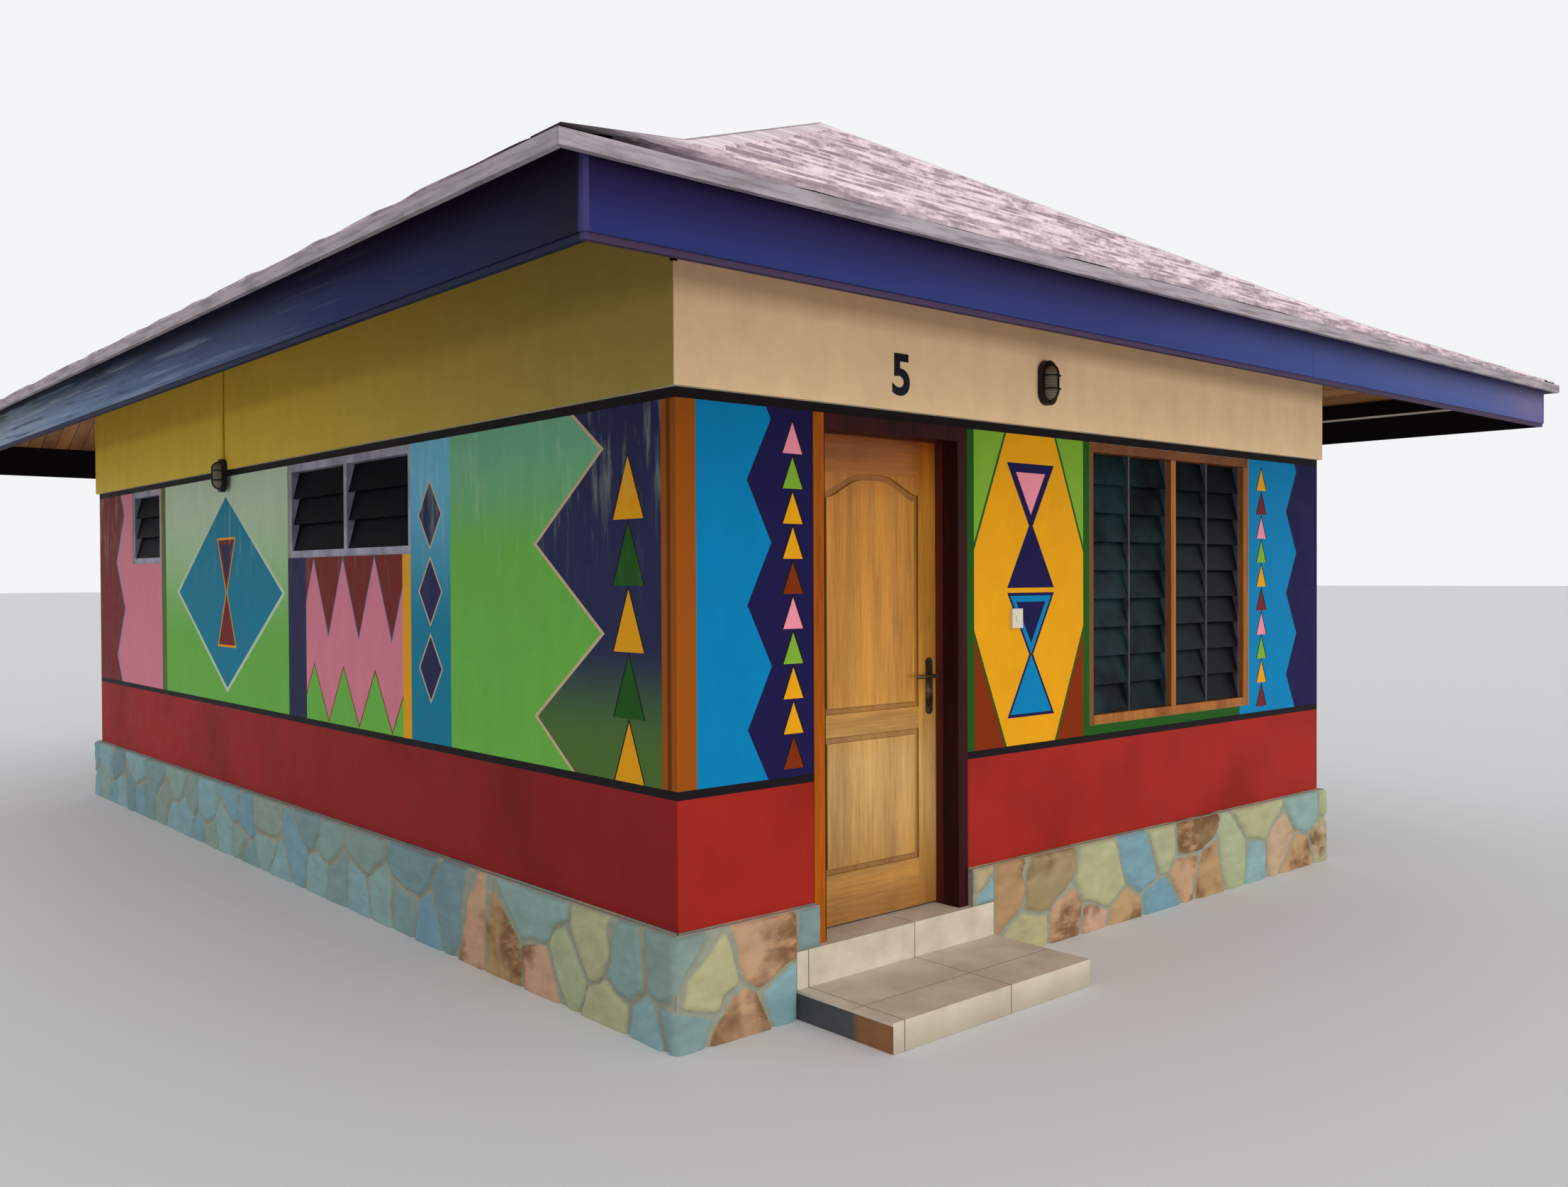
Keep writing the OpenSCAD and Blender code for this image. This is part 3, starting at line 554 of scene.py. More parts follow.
def facing_stone():
    """Split stones: each takes a colour of its own, with bedding streaks, rust and pale joints."""
    f = Finish("facing_stone", Specular_IOR_Level=0.3)
    stone = f.attribute("stone")
    joint = f.attribute("joint")
    tone = f.ramp(
        stone,
        (0.0, (0.140, 0.270, 0.330)), (0.12, (0.210, 0.350, 0.370)), (0.24, (0.230, 0.330, 0.280)),
        (0.36, (0.150, 0.240, 0.260)), (0.46, (0.330, 0.370, 0.220)), (0.58, (0.400, 0.370, 0.200)),
        (0.70, (0.200, 0.090, 0.034)), (0.80, (0.420, 0.270, 0.130)), (0.90, (0.500, 0.290, 0.200)),
        (1.0, (0.360, 0.340, 0.190)),
    )
    bedding = f.noise(7.0, 5.0, 0.65, f.stretched(1.0, 1.0, 2.2))
    blot = f.noise(3.0, 3.0, 0.6)
    rust = f.mix((0.130, 0.050, 0.016), (0.470, 0.260, 0.130), bedding.smooth(0.45, 0.72))
    rusty = (stone > 0.62) * blot.smooth(0.46, 0.62)
    colour = f.mix(f.tint(tone, 0.66 + bedding * 0.72), rust, rusty * 0.8)
    pale = f.mix((0.34, 0.36, 0.27), (0.21, 0.21, 0.16), f.noise(22.0, 3.0))
    relief = (bedding * 0.7 + f.noise(45.0, 3.0) * 0.3, 0.008, 0.5)
    colour = f.mix(colour, pale, joint.smooth(0.25, 0.8))
    return f.done(Base_Color=colour, Roughness=0.55 + bedding * 0.35, relief=relief)


def step_tile():
    """Matt beige floor tiles with faint clouding, thin joints across, and darker near the ground."""
    f = Finish("step_tile")
    cloud = f.noise(6.0, 4.0, 0.6)
    veins = f.noise(3.0, 5.0, 0.7, f.stretched(1.0, 3.0, 5.0))
    u = f.x + WALL_X
    across = (abs(u - TILE_W) < TILE_JOINT) + (abs(u - 2 * TILE_W) < TILE_JOINT)
    on_tread = (f.z > STEP_HIGH.z - TOUCH) * (f.z < STEP_HIGH.z + 2 * TOUCH)
    level = (abs(f.y - STEP_HIGH.y + TREAD_JOINT) < 0.0018) * on_tread
    joint = (across + level).least(1.0)
    inner = f.y > THRESHOLD_LOW.y + 0.055
    outside = 1 - inner * (f.z < THRESHOLD_HIGH.z - 2 * TOUCH)
    colour = f.mix((0.50, 0.43, 0.33), (0.62, 0.55, 0.44), cloud.smooth(0.3, 0.7))
    colour = f.tint(colour, 0.86 + veins * 0.28)
    # Darker towards the ground, over the lowest 10 cm or so.
    near_ground = (0.10 - f.z + cloud * 0.05).smooth(0.0, 0.14)
    colour = f.mix(colour, (0.26, 0.21, 0.15), near_ground * 0.55)
    colour = f.mix((0.40, 0.36, 0.30), colour, outside)
    slate = (f.x < STEP_LOW.x + TOUCH) * (f.z < STEP_HIGH.z - 0.012)
    side = f.mix((0.05, 0.055, 0.065), (0.22, 0.09, 0.03), (STEP_LOW.y + 0.22 - f.y).smooth(0.0, 0.06))
    colour = f.mix(colour, f.tint(side, 0.6 + veins * 0.9), slate)
    relief = (cloud * 0.15 - joint, 0.002, 0.5)
    colour = f.mix(colour, (0.13, 0.10, 0.08), joint)
    return f.done(Base_Color=colour, Roughness=0.42 + cloud * 0.25, relief=relief)


def grain(f, fine, coarse):
    """Wood grain: a coarse noise and a fine one for the pores, each read at the place stretched so
    that it is long along the board and short across it."""
    broad = f.noise(3.0, 5.0, 0.62, coarse)
    pores = f.noise(26.0, 4.0, 0.7, fine)
    return broad * 0.65 + pores * 0.35


def frame_grain(f):
    """Upright grain, alike on the faces that look along X and along Y."""
    return grain(f, f.stretched(4.0, 4.0, 0.25), f.stretched(3.0, 3.0, 0.16))


def door_wood():
    """The leaf: upright grain on stiles and panels, level grain on the rails, darker in the grooves,
    dark orange with painted shade under the frame's head, and paler in the lower panel, partly from
    wear and partly painted sunlight."""
    f = Finish("door_wood", Specular_IOR_Level=0.3, Coat_Weight=0.15, Coat_Roughness=0.25)
    v = f.z - LEAF_LOW.z
    u = f.x - (LEAF_LOW.x + LEAF_HIGH.x) / 2
    upright = grain(f, f.stretched(4.0, 1.0, 0.22), f.stretched(3.0, 1.0, 0.16))
    level = grain(f, f.stretched(0.22, 1.0, 4.0), f.stretched(0.16, 1.0, 3.0))
    rails = (v < BOTTOM_RAIL) + (v > TOP_RAIL) + (abs(v - MIDDLE_RAIL) < MIDDLE_RAIL_HALF)
    on_rail = (abs(u) < RAIL_HALF) * rails
    figure = upright + (level - upright) * on_rail
    # Tone from foot to head: darker at the foot, paler over the lower panel from wear and painted
    # sunlight, then darker to the top as painted shade under the frame's head.
    tone = f.ramp(
        v / (LEAF_HIGH.z - LEAF_LOW.z),
        (0.0, (0.300, 0.130, 0.030)), (0.08, (0.400, 0.190, 0.042)), (0.20, (0.500, 0.285, 0.090)),
        (0.32, (0.540, 0.320, 0.105)), (0.46, (0.500, 0.225, 0.034)), (0.86, (0.490, 0.200, 0.022)),
        (0.95, (0.350, 0.100, 0.006)), (1.0, (0.250, 0.055, 0.003)),
    )
    blotch = f.noise(2.2, 3.0, 0.6, f.stretched(1.6, 1.0, 0.5))
    colour = f.tint(tone, 0.44 + figure.smooth(0.32, 0.66) * 0.62 + blotch * 0.46)
    hollow = abs(f.y - (LEAF_LOW.y + LEAF_HIGH.y) / 2) < GROOVE_HALF
    edge = (abs(u) - (LEAF_HIGH.x - LEAF_LOW.x) / 2 + 0.002).smooth(0.0, 0.002)
    colour = f.mix(colour, (0.150, 0.052, 0.010), (hollow * 0.50).most(edge * 0.5))
    return f.done(Base_Color=colour, Roughness=0.34 + figure * 0.22, relief=(figure, 0.0015, 0.22))


def dark_frame_wood():
    """Door frame: maroon near to black, a painted highlight along the arris, and a left jamb worn to
    an orange-brown.
    """
    f = Finish("dark_frame_wood", Roughness=0.45, Specular_IOR_Level=0.1)
    figure = frame_grain(f)
    grown = figure.smooth(0.3, 0.7)
    left = f.x < FRAME_LOW.x + JAMB_W
    arris = FRAME_LOW.y + ARRIS_IN
    dark = f.mix((0.014, 0.003, 0.004), (0.050, 0.007, 0.007), grown)
    maroon = f.mix((0.060, 0.010, 0.010), (0.130, 0.026, 0.020), grown)
    dark = f.mix(dark, maroon, f.y > arris)
    # Painted highlight: a thin pale line along the right jamb's arris, where light catches the edge.
    painted_arris_highlight = (abs(f.y - arris) < 0.0022) * (f.x > FRAME_HIGH.x - JAMB_W)
    dark = f.mix(dark, (0.42, 0.30, 0.24), painted_arris_highlight)
    warm = f.mix((0.240, 0.045, 0.001), (0.440, 0.115, 0.002), grown)
    return f.done(Base_Color=f.mix(dark, warm, left), relief=(figure, 0.002, 0.25))


def window_frame_wood():
    """Louvre window frame: orange-brown varnish, darker on the head and the left stile, its left
    edge touched with wall paint."""
    f = Finish("window_frame_wood", Roughness=0.45, Specular_IOR_Level=0.15)
    figure = frame_grain(f)
    colour = f.mix((0.220, 0.062, 0.009), (0.450, 0.175, 0.038), figure.smooth(0.3, 0.7))
    shaded = (f.z > LOUVRE_HIGH.z - LOUVRE_STILE).most(f.x < LOUVRE_LOW.x + LOUVRE_STILE)
    colour = f.mix(colour, (0.085, 0.022, 0.009), shaded * 0.65)
    painted = (f.x < LOUVRE_LOW.x + 0.018) * (f.y < LOUVRE_LOW.y + 2 * TOUCH)
    relief = (figure, 0.002, 0.3)
    return f.done(Base_Color=f.mix(colour, (0.120, 0.110, 0.030), painted), relief=relief)


def blue_board():
    """Fascia boards: indigo paint over grain, lighter to the right up to painted sunlight, chalky
    towards the back, darker to the top as painted shade, and near black inside and by the front
    corners as painted shade.
    """
    f = Finish("blue_board", Specular_IOR_Level=0.1)
    lengthwise = abs(f.y) > FASCIA_Y - FASCIA_T - HAIR
    lines_x = f.noise(14.0, 4.0, 0.65, f.stretched(0.05, 1.0, 2.2))
    lines_y = f.noise(14.0, 4.0, 0.65, f.stretched(1.0, 0.05, 2.2))
    lines = lines_y + (lines_x - lines_y) * lengthwise
    cloud = f.noise(0.9, 3.0, 0.6)
    low = f.z - FASCIA_LOW.z
    # Front boards lighter to the right, up to painted sunlight at the right end.
    front = f.ramp(
        (f.x + FASCIA_X) / (2 * FASCIA_X) + (cloud - 0.5) * 0.25,
        (0.0, (0.014, 0.012, 0.072)), (0.30, (0.020, 0.021, 0.092)), (0.60, (0.036, 0.050, 0.165)),
        (0.85, (0.064, 0.080, 0.215)), (1.0, (0.120, 0.105, 0.220)),
    )
    # Side boards near black at the front as painted shade, greyer towards the back with weathering.
    side = f.ramp(
        (f.y + FASCIA_Y) / (2 * FASCIA_Y) + (cloud - 0.5) * 0.12,
        (0.0, (0.002, 0.003, 0.014)), (0.16, (0.005, 0.009, 0.064)), (0.45, (0.066, 0.104, 0.195)),
        (0.70, (0.150, 0.205, 0.290)), (1.0, (0.300, 0.300, 0.230)),
    )
    colour = f.mix(side, front, lengthwise)
    aged = (f.y + FASCIA_Y).smooth(0.8, 5.5) * (1 - lengthwise * 0.7)
    bead = f.mix((0.010, 0.012, 0.040), (0.052, 0.032, 0.072), lengthwise)
    corner = (abs(f.x) > FASCIA_X - FASCIA_CORNER) * (abs(f.y) > FASCIA_Y - FASCIA_CORNER)
    inside = (abs(f.x) < FASCIA_X - FASCIA_T + HAIR) * (abs(f.y) < FASCIA_Y - FASCIA_T + HAIR)
    colour = f.cover(
        # Painted shade under the trim: lighter and bluer along the foot of the boards, darker to their
        # top.
        f.tint(colour, 1.26 - low.smooth(0.05, 0.23) * 0.62),
        ((0.020, 0.008, 0.028), low.smooth(0.12, 0.25) * 0.60),
        ((0.022, 0.046, 0.190), (0.13 - low).smooth(0.0, 0.11) * lengthwise * 0.36),
        ((0.30, 0.35, 0.40), lines.smooth(0.50, 0.66) * aged * 0.55),
        ((0.022, 0.026, 0.036), (1 - lines).smooth(0.54, 0.64) * aged * 0.85),
        (bead, low < FASCIA_BEAD), ((0.048, 0.044, 0.140), corner * 0.8),
        # Painted shade: the inner faces near black.
        ((0.006, 0.005, 0.008), inside),
    )
    relief = (lines, 0.003, 0.35)
    colour = f.tint(colour, 0.78 + lines * 0.42)
    return f.done(Base_Color=colour, Roughness=0.5 + lines * 0.2, relief=relief)


def pale_board():
    """Eave trim: pale grey paint, dirty in patches and dark in open grain."""
    f = Finish("pale_board", Roughness=0.65, Specular_IOR_Level=0.3)
    lines = f.noise(16.0, 4.0, 0.65, f.stretched(0.25, 0.25, 3.0))
    cloud = f.noise(1.8, 4.0, 0.6)
    colour = f.mix((0.200, 0.170, 0.185), (0.380, 0.325, 0.350), lines.smooth(0.3, 0.62))
    colour = f.mix(colour, (0.180, 0.155, 0.155), cloud.smooth(0.55, 0.75) * 0.5)
    return f.done(Base_Color=colour, relief=(lines, 0.003, 0.35))


def soffit_board():
    """Stained tongued boards under the eaves, with a dark joint every 100 mm."""
    f = Finish("soffit_board", Roughness=0.55)
    across = f.x / SOFFIT_BOARD_W
    joint = across.fract() < SOFFIT_JOINT
    board = f.chance(across.floor(), 3.0)
    figure = grain(f, f.stretched(3.0, 0.22, 3.0), f.stretched(3.0, 0.16, 3.0))
    colour = f.mix((0.28, 0.105, 0.030), (0.52, 0.240, 0.085), figure.smooth(0.3, 0.7))
    colour = f.tint(colour, 0.72 + board * 0.5)
    relief = (figure - joint, 0.003, 0.4)
    return f.done(Base_Color=f.mix(colour, (0.03, 0.012, 0.008), joint), relief=relief)


def darkened_corner(f, colour):
    """A roof colour darkened to black at the front left corner, less and less for a metre."""
    from_corner = ((f.x + ROOF_X).power(2.0) + (f.y + ROOF_Y).power(2.0)).power(0.5)
    ragged = f.noise(7.0, 5.0, 0.7, f.stretched(1.0, 1.0, 4.0)) * 0.6
    return f.cover(
        colour,
        ((0.190, 0.130, 0.165), (1.0 - from_corner + ragged).smooth(0.0, 0.9) * 0.75),
        ((0.014, 0.010, 0.012), (0.30 - from_corner + ragged).smooth(0.0, 0.40) * 0.95),
    )


def shingle():
    """Granule-faced shingles: each tab has its own tone, with slots, soot streaks, pale lower edges,
    painted shadows under the butts, darker first courses and a patch darkened to black by the front
    left corner."""
    f = Finish("shingle", Roughness=0.9, Specular_IOR_Level=0.1)
    course = f.attribute("course")
    along = f.attribute("along")
    row = course.floor()
    up = course.fract()
    tab = along / TAB_W + f.chance(row, 1.0)
    tone = f.chance(tab.floor(), row)
    slot = (tab.fract() < SLOT_W) * (up < SLOT_H)
    cloud = f.noise(1.4, 4.0, 0.6)
    grit = f.noise(70.0, 4.0, 0.75)
    soot = f.noise(3.2, 5.0, 0.7, f.stretched(1.0, 1.0, 4.0))
    ragged = f.noise(1.0, 4.0, 0.7, f.point(along * 4.0, course * 2.3)).smooth(0.38, 0.60)
    colour = f.cover(
        f.mix((0.82, 0.66, 0.69), (1.00, 0.86, 0.86), tone * 0.60 + cloud * 0.40),
        ((0.36, 0.26, 0.31), soot.smooth(0.54, 0.74) * 0.50),
        ((0.42, 0.33, 0.34), (2.4 - course).smooth(0.0, 2.2) * 0.35),
        ((0.33, 0.25, 0.30), (tone < 0.16) * 0.28),
        # Painted shadow: each course darker at its top, under the next course's butt, more in ragged
        # places.
        ((0.20, 0.145, 0.18), up.smooth(0.76, 0.98) * (0.20 + ragged * 0.60)),
        ((0.84, 0.74, 0.73), (0.16 - up).smooth(0.0, 0.14) * 0.35), ((0.13, 0.10, 0.10), slot),
    )
    relief = (grit * 0.4 - slot, 0.004, 0.5)
    return f.done(Base_Color=f.tint(darkened_corner(f, colour), 0.86 + grit * 0.34), relief=relief)


def cap_shingle():
    """Hip and ridge caps: shingle strips lapped every 150 mm, worn dark where they bend."""
    f = Finish("cap_shingle", Roughness=0.9, Specular_IOR_Level=0.2)
    on_ridge = (abs(f.x) < CAP_W + 0.005) * (f.z > RIDGE_Z - 0.075)
    lap = (f.z / CAP_LAP_Z) * (1 - on_ridge) + (f.y / CAP_LAP_Y) * on_ridge
    step = lap.fract()
    grit = f.noise(70.0, 4.0, 0.75)
    tone = f.chance(lap.floor(), 4.0)
    arris = abs((ROOF_X - abs(f.x)) / ROOF_X - (ROOF_Y - abs(f.y)) / HIP_RUN)
    colour = f.cover(
        f.mix((0.66, 0.54, 0.555), (0.90, 0.75, 0.76), tone),
        ((0.24, 0.20, 0.20), (step < 0.10) * 0.7),
        ((0.16, 0.12, 0.14), (0.008 - arris).smooth(0.0, 0.004) * 0.7),
    )
    relief = (grit * 0.4 + step * 0.6, 0.006, 0.5)
    return f.done(Base_Color=f.tint(darkened_corner(f, colour), 0.80 + grit * 0.40), relief=relief)


def window_metal(name, low, high):
    """Mill-finish aluminium, dulled between two greys, with specks of dirt."""
    f = Finish(name, Metallic=0.3, Specular_IOR_Level=0.3)
    cloud = f.noise(5.0, 4.0, 0.6)
    colour = f.mix(low, high, cloud.smooth(0.3, 0.7))
    specks = f.noise(14.0, 4.0, 0.7).smooth(0.6, 0.8)
    colour = f.mix(colour, (0.16, 0.14, 0.13), specks * 0.6)
    return f.done(Base_Color=colour, Roughness=0.45 + cloud * 0.25, relief=(cloud, 0.001, 0.2))


def louvre_glass():
    """Louvre blades: blue-grey dust over a near-black sheet that stands for the dark room behind as
    painted shade; the blue-grey grows lighter to the left with a painted reflection.
    """
    f = Finish("louvre_glass", Specular_IOR_Level=0.08)
    dust = f.noise(4.0, 5.0, 0.65)
    # Painted reflection: the dust's blue-grey grows lighter towards the left.
    reflection_leftward = (LOUVRE_HIGH.x - f.x).smooth(0.1, 1.5)
    dusty = f.mix((0.003, 0.006, 0.009), (0.008, 0.026, 0.032), reflection_leftward)
    colour = f.mix((0.001, 0.002, 0.0035), dusty, dust.smooth(0.32, 0.66))
    return f.done(Base_Color=colour, Roughness=0.28 + dust * 0.25)


def lamp_finish(name, axis):
    """A guarded lamp: ribbed glass where a point is nearer than the glass's radius to the upright
    axis, which is a segment, and black painted cast metal everywhere else."""
    f = Finish(name, Specular_IOR_Level=0.3)
    past_end = (abs(f.z - axis.z) - LAMP_GLASS_HALF).most(0.0)
    square = (f.x - axis.x).power(2.0) + (f.y - axis.y).power(2.0) + past_end.power(2.0)
    glass = square < LAMP_GLASS_R ** 2
    ribs = (f.z / LAMP_RIB).wave()
    cloud = f.noise(30.0, 4.0, 0.6)
    metal = f.mix((0.006, 0.005, 0.006), (0.028, 0.022, 0.022), cloud.smooth(0.45, 0.8))
    dusty = f.mix((0.055, 0.042, 0.032), (0.260, 0.225, 0.175), ribs * 0.6 + cloud * 0.4)
    relief = (cloud * 0.3 + ribs * glass, 0.002, 0.5)
    return f.done(Base_Color=f.mix(metal, dusty, glass), Roughness=0.5 - glass * 0.22, relief=relief)


def clouded(name, low, high, cloud, share=None, rough=None, bump=None, grit=None, **constants):
    """A finish of two colours mixed by a noise, or by its S-curve over a share of it. Its roughness
    (least, gain) follows the noise, and its relief (distance, strength) that or a finer noise."""
    f = Finish(name, **constants)
    figure = f.noise(*cloud)
    sockets = {"Base_Color": f.mix(low, high, figure.smooth(*share) if share else figure)}
    if rough:
        sockets["Roughness"] = rough[0] + figure * rough[1]
    if bump:
        sockets["relief"] = (f.noise(*grit) if grit else figure, *bump)
    return f.done(**sockets)


def clouded_finishes():
    """Screed, seen only through the doorway; felt and board edges under the shingles; high window
    panes, almost black as painted shade of the dark room behind, with a dull film; brass, brown in
    its hollows; hinges with fine rust; and plastic with handling marks."""
    return {
        "floor_screed": clouded(
            "floor_screed", (0.22, 0.21, 0.20), (0.36, 0.34, 0.31), (3.0, 5.0, 0.6),
            bump=(0.002, 0.3), grit=(40.0, 3.0), Roughness=0.55),
        "roof_shingle": clouded(
            "roof_board", (0.05, 0.04, 0.04), (0.10, 0.08, 0.07), (12.0, 4.0),
            bump=(0.004, 0.4), grit=(30.0, 3.0), Roughness=0.85),
        # Painted shade: the high panes near black, for the dark room behind them.
        "dark_glass": clouded(
            "pane_glass", (0.001, 0.0015, 0.003), (0.003, 0.005, 0.008), (5.0, 5.0, 0.65),
            share=(0.4, 0.8), rough=(0.45, 0.25), Specular_IOR_Level=0.05),
        "door_metal": clouded(
            "door_metal", (0.09, 0.06, 0.035), (0.38, 0.32, 0.22), (18.0, 4.0, 0.65),
            share=(0.42, 0.75), rough=(0.25, 0.3), bump=(0.0008, 0.3), Metallic=0.8),
        "hinge_steel": clouded(
            "hinge_steel", (0.48, 0.47, 0.46), (0.22, 0.13, 0.08), (40.0, 4.0, 0.65),
            share=(0.55, 0.8), rough=(0.3, 0.3), Metallic=0.9),
        "cream_plastic": clouded(
            "cream_plastic", (0.56, 0.51, 0.36), (0.70, 0.66, 0.52), (16.0, 4.0, 0.6),
            rough=(0.3, 0.2), bump=(0.0005, 0.2)),
    }


def dress(node, material):
    """Gives one node of the frame its finish."""
    mesh = frame["nodes"][node].data
    mesh.materials.clear()
    mesh.materials.append(material)


def dress_nodes():
    """Gives every node of the frame the finish of its slot, and some a finish of their own."""
    makers = (wall_paint, step_tile, door_wood, dark_frame_wood, window_frame_wood, blue_board,
              pale_board, soffit_board)
    made = {maker.__name__: maker() for maker in makers}
    made.update(clouded_finishes())
    made["rubble_stone"] = mortar()
    made["window_metal"] = window_metal("window_metal", (0.20, 0.20, 0.27), (0.42, 0.40, 0.50))
    front_low, front_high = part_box("front_lamp")
    side_low, side_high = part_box("side_lamp")
    front_axis = (front_low + front_high) / 2
    front_axis.y = front_high.y - LAMP_BASE
    side_axis = (side_low + side_high) / 2
    side_axis.x = side_high.x - LAMP_BASE
    own = {
        "hip_and_ridge_caps": cap_shingle(), "louvre_blades": louvre_glass(),
        "louvre_carriers": window_metal("carrier_metal", (0.035, 0.040, 0.050), (0.110, 0.115, 0.130)),
        "front_lamp": lamp_finish("front_lamp_finish", front_axis),
        "side_lamp": lamp_finish("side_lamp_finish", side_axis),
    }
    for part in frame["record"]["subparts"]:
        node = part["node"]
        dress(node, own[node] if node in own else made[part["material_slot"]])
    return made


def put(name, data):
    """Makes an object of some data and puts it in the scene."""
    made = bpy.data.objects.new(name, data)
    bpy.context.scene.collection.objects.link(made)
    return made


def add_piece(name, points, faces, material, slot, body="root", smooth=False, **attributes):
    """Makes a mesh from arrays of points and faces, with point attributes, that rides on a body."""
    mesh = bpy.data.meshes.new(name)
    mesh.from_pydata(points.reshape(-1, 3).tolist(), [], [list(face) for face in faces])
    for key, values in attributes.items():
        attribute = mesh.attributes.new(key, "FLOAT", "POINT")
        attribute.data.foreach_set("value", values.astype(np.float32).ravel())
    mesh.polygons.foreach_set("use_smooth", np.full(len(mesh.polygons), smooth))
    mesh.materials.append(material)
    made = put(name, mesh)
    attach(made, body)
    return made


def grid_faces(rows, columns):
    """Four-sided faces between neighbouring rows and columns of a grid of points."""
    first = (np.arange(rows - 1)[:, None] * columns + np.arange(columns - 1)).ravel()
    return np.stack([first, first + 1, first + columns + 1, first + columns], -1)


def s_curve(share):
    """From 0 at 0 to 1 at 1, level at both ends."""
    return share * share * (3 - 2 * share)


def value_noise(u, v, cell, seed):
    """Smooth random field from 0 to 1: random numbers on a lattice, blended by an S-curve."""
    table = np.random.default_rng(seed).random((LATTICE, LATTICE))
    i = np.floor(u / cell).astype(int)
    j = np.floor(v / cell).astype(int)
    a = s_curve(u / cell - i)
    b = s_curve(v / cell - j)
    left = i % LATTICE
    right = (i + 1) % LATTICE
    rows = (j % LATTICE, (j + 1) % LATTICE)
    low, high = (table[left, row] * (1 - a) + table[right, row] * a for row in rows)
    return low * (1 - b) + high * b


def roof_share(rise):
    """Share of the run at which a slope has risen by rise: two straight pitches, flat then steep."""
    return np.interp(rise, (0, CAST_RISE, ROOF_RISE), (0, CAST_SHARE, 1))


def roof_rise(share):
    """How far a slope has risen at a share of its run: the same two pitches the other way round."""
    return np.interp(share, (0, CAST_SHARE, 1), (0, CAST_RISE, ROOF_RISE))


def soffit_level(x, y):
    """Height of the boards under the eaves: the lower of the roof's two slopes there, less a drop."""
    share = np.minimum((ROOF_X - np.abs(x)) / ROOF_X, (ROOF_Y - np.abs(y)) / HIP_RUN)
    return EAVE_Z + roof_rise(share) - SOFFIT_DROP


def outline(half_x, half_y, count):
    """Points round a rectangle, counterclockwise seen from above from its front left corner and
    back to it, with count steps to a side."""
    corners = np.array([(-1, -1), (1, -1), (1, 1), (-1, 1), (-1, -1)]) * (half_x, half_y)
    walked = np.arange(4 * count + 1) / count
    return np.stack([np.interp(walked, np.arange(5), corners[:, k]) for k in range(2)], -1)


def thicken(piece, thickness):
    """Gives a sheet its thickness, behind the side that its faces point to."""
    solid = piece.modifiers.new("thickness", "SOLIDIFY")
    solid.thickness = thickness
    solid.offset = -1.0


def add_eave_boards(made):
    """Boards under the eaves that rise with the roof from the fascias to the walls, the flat ceiling
    of the room, and the tops of the walls between the two."""
    across = np.linspace(0, 1, EAVE_LINES)[:, None, None]
    outer = outline(FASCIA_X - FASCIA_T, FASCIA_Y - FASCIA_T, EAVE_STEPS)
    inner = outline(BAND_X, BAND_Y, EAVE_STEPS)
    place = outer + (inner - outer) * across
    level = soffit_level(place[..., 0], place[..., 1])
    points = np.concatenate([place, level[..., None]], -1)
    faces = grid_faces(EAVE_LINES, len(inner))[:, ::-1]
    boards = add_piece("eave_boards", points, faces, made["soffit_board"], "soffit_board")
    thicken(boards, SOFFIT_T)
    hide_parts("soffit_and_ceiling")
    flat = np.concatenate([outline(WALL_X, WALL_Y, 1)[:4], np.full((4, 1), SOFFIT_LOW.z)], -1)
    ceiling = add_piece("ceiling_boards", flat, [(3, 2, 1, 0)], made["soffit_board"], "soffit_board")
    thicken(ceiling, SOFFIT_T)
    foot = np.column_stack([inner, np.full(len(inner), WALL_HIGH.z)])
    top = np.column_stack([inner, soffit_level(inner[:, 0], inner[:, 1])])
    wall = np.stack([foot, top])
    heads = add_piece("wall_heads", wall, grid_faces(2, len(inner)), made["wall_paint"], "wall_paint")
    thicken(heads, HEAD_T)


def carried(profile, start, end):
    """A profile of points round a line, carried straight from start to end and closed at both."""
    count = len(profile)
    points = np.concatenate([profile + start, profile + end])
    first = np.arange(count)
    following = (first + 1) % count
    sides = np.stack([first, following, following + count, first + count], -1).tolist()
    return points, sides + [first[::-1].tolist(), (first + count).tolist()]


def add_conduit_head(made):
    """The upper end of the side lamp's conduit: a circle carried up to the boards under the eaves."""
    radius = (CONDUIT_HIGH.x - CONDUIT_LOW.x) / 2
    x = (CONDUIT_HIGH.x + CONDUIT_LOW.x) / 2
    y = (CONDUIT_HIGH.y + CONDUIT_LOW.y) / 2
    turn = np.linspace(0, 2 * math.pi, CONDUIT_SIDES, endpoint=False)
    circle = np.stack([np.cos(turn), np.sin(turn), 0 * turn], -1) * radius
    top = float(soffit_level(x, y))
    points, faces = carried(circle, np.array([x, y, CONDUIT_HIGH.z]), np.array([x, y, top]))
    add_piece("conduit_head", points, faces, made["wall_paint"], "wall_paint")


def add_batten():
    """The thin batten on the right fascia's inner face: a square carried from end to end, in pale
    paint, paler than the trim."""
    square = np.array([(-1, 0, -1), (1, 0, -1), (1, 0, 1), (-1, 0, 1)]) * BATTEN / 2
    x = FASCIA_X - FASCIA_T - BATTEN / 2
    far = FASCIA_Y - FASCIA_T
    points, faces = carried(square, np.array([x, -far, BATTEN_Z]), np.array([x, far, BATTEN_Z]))
    paint = clouded("batten_paint", (0.74, 0.71, 0.68), (0.86, 0.84, 0.81), (9.0, 3.0),
                    Roughness=0.6, Specular_IOR_Level=0.2)
    batten = add_piece("eave_batten", points, faces, paint, "pale_board")
    batten.data.flip_normals()


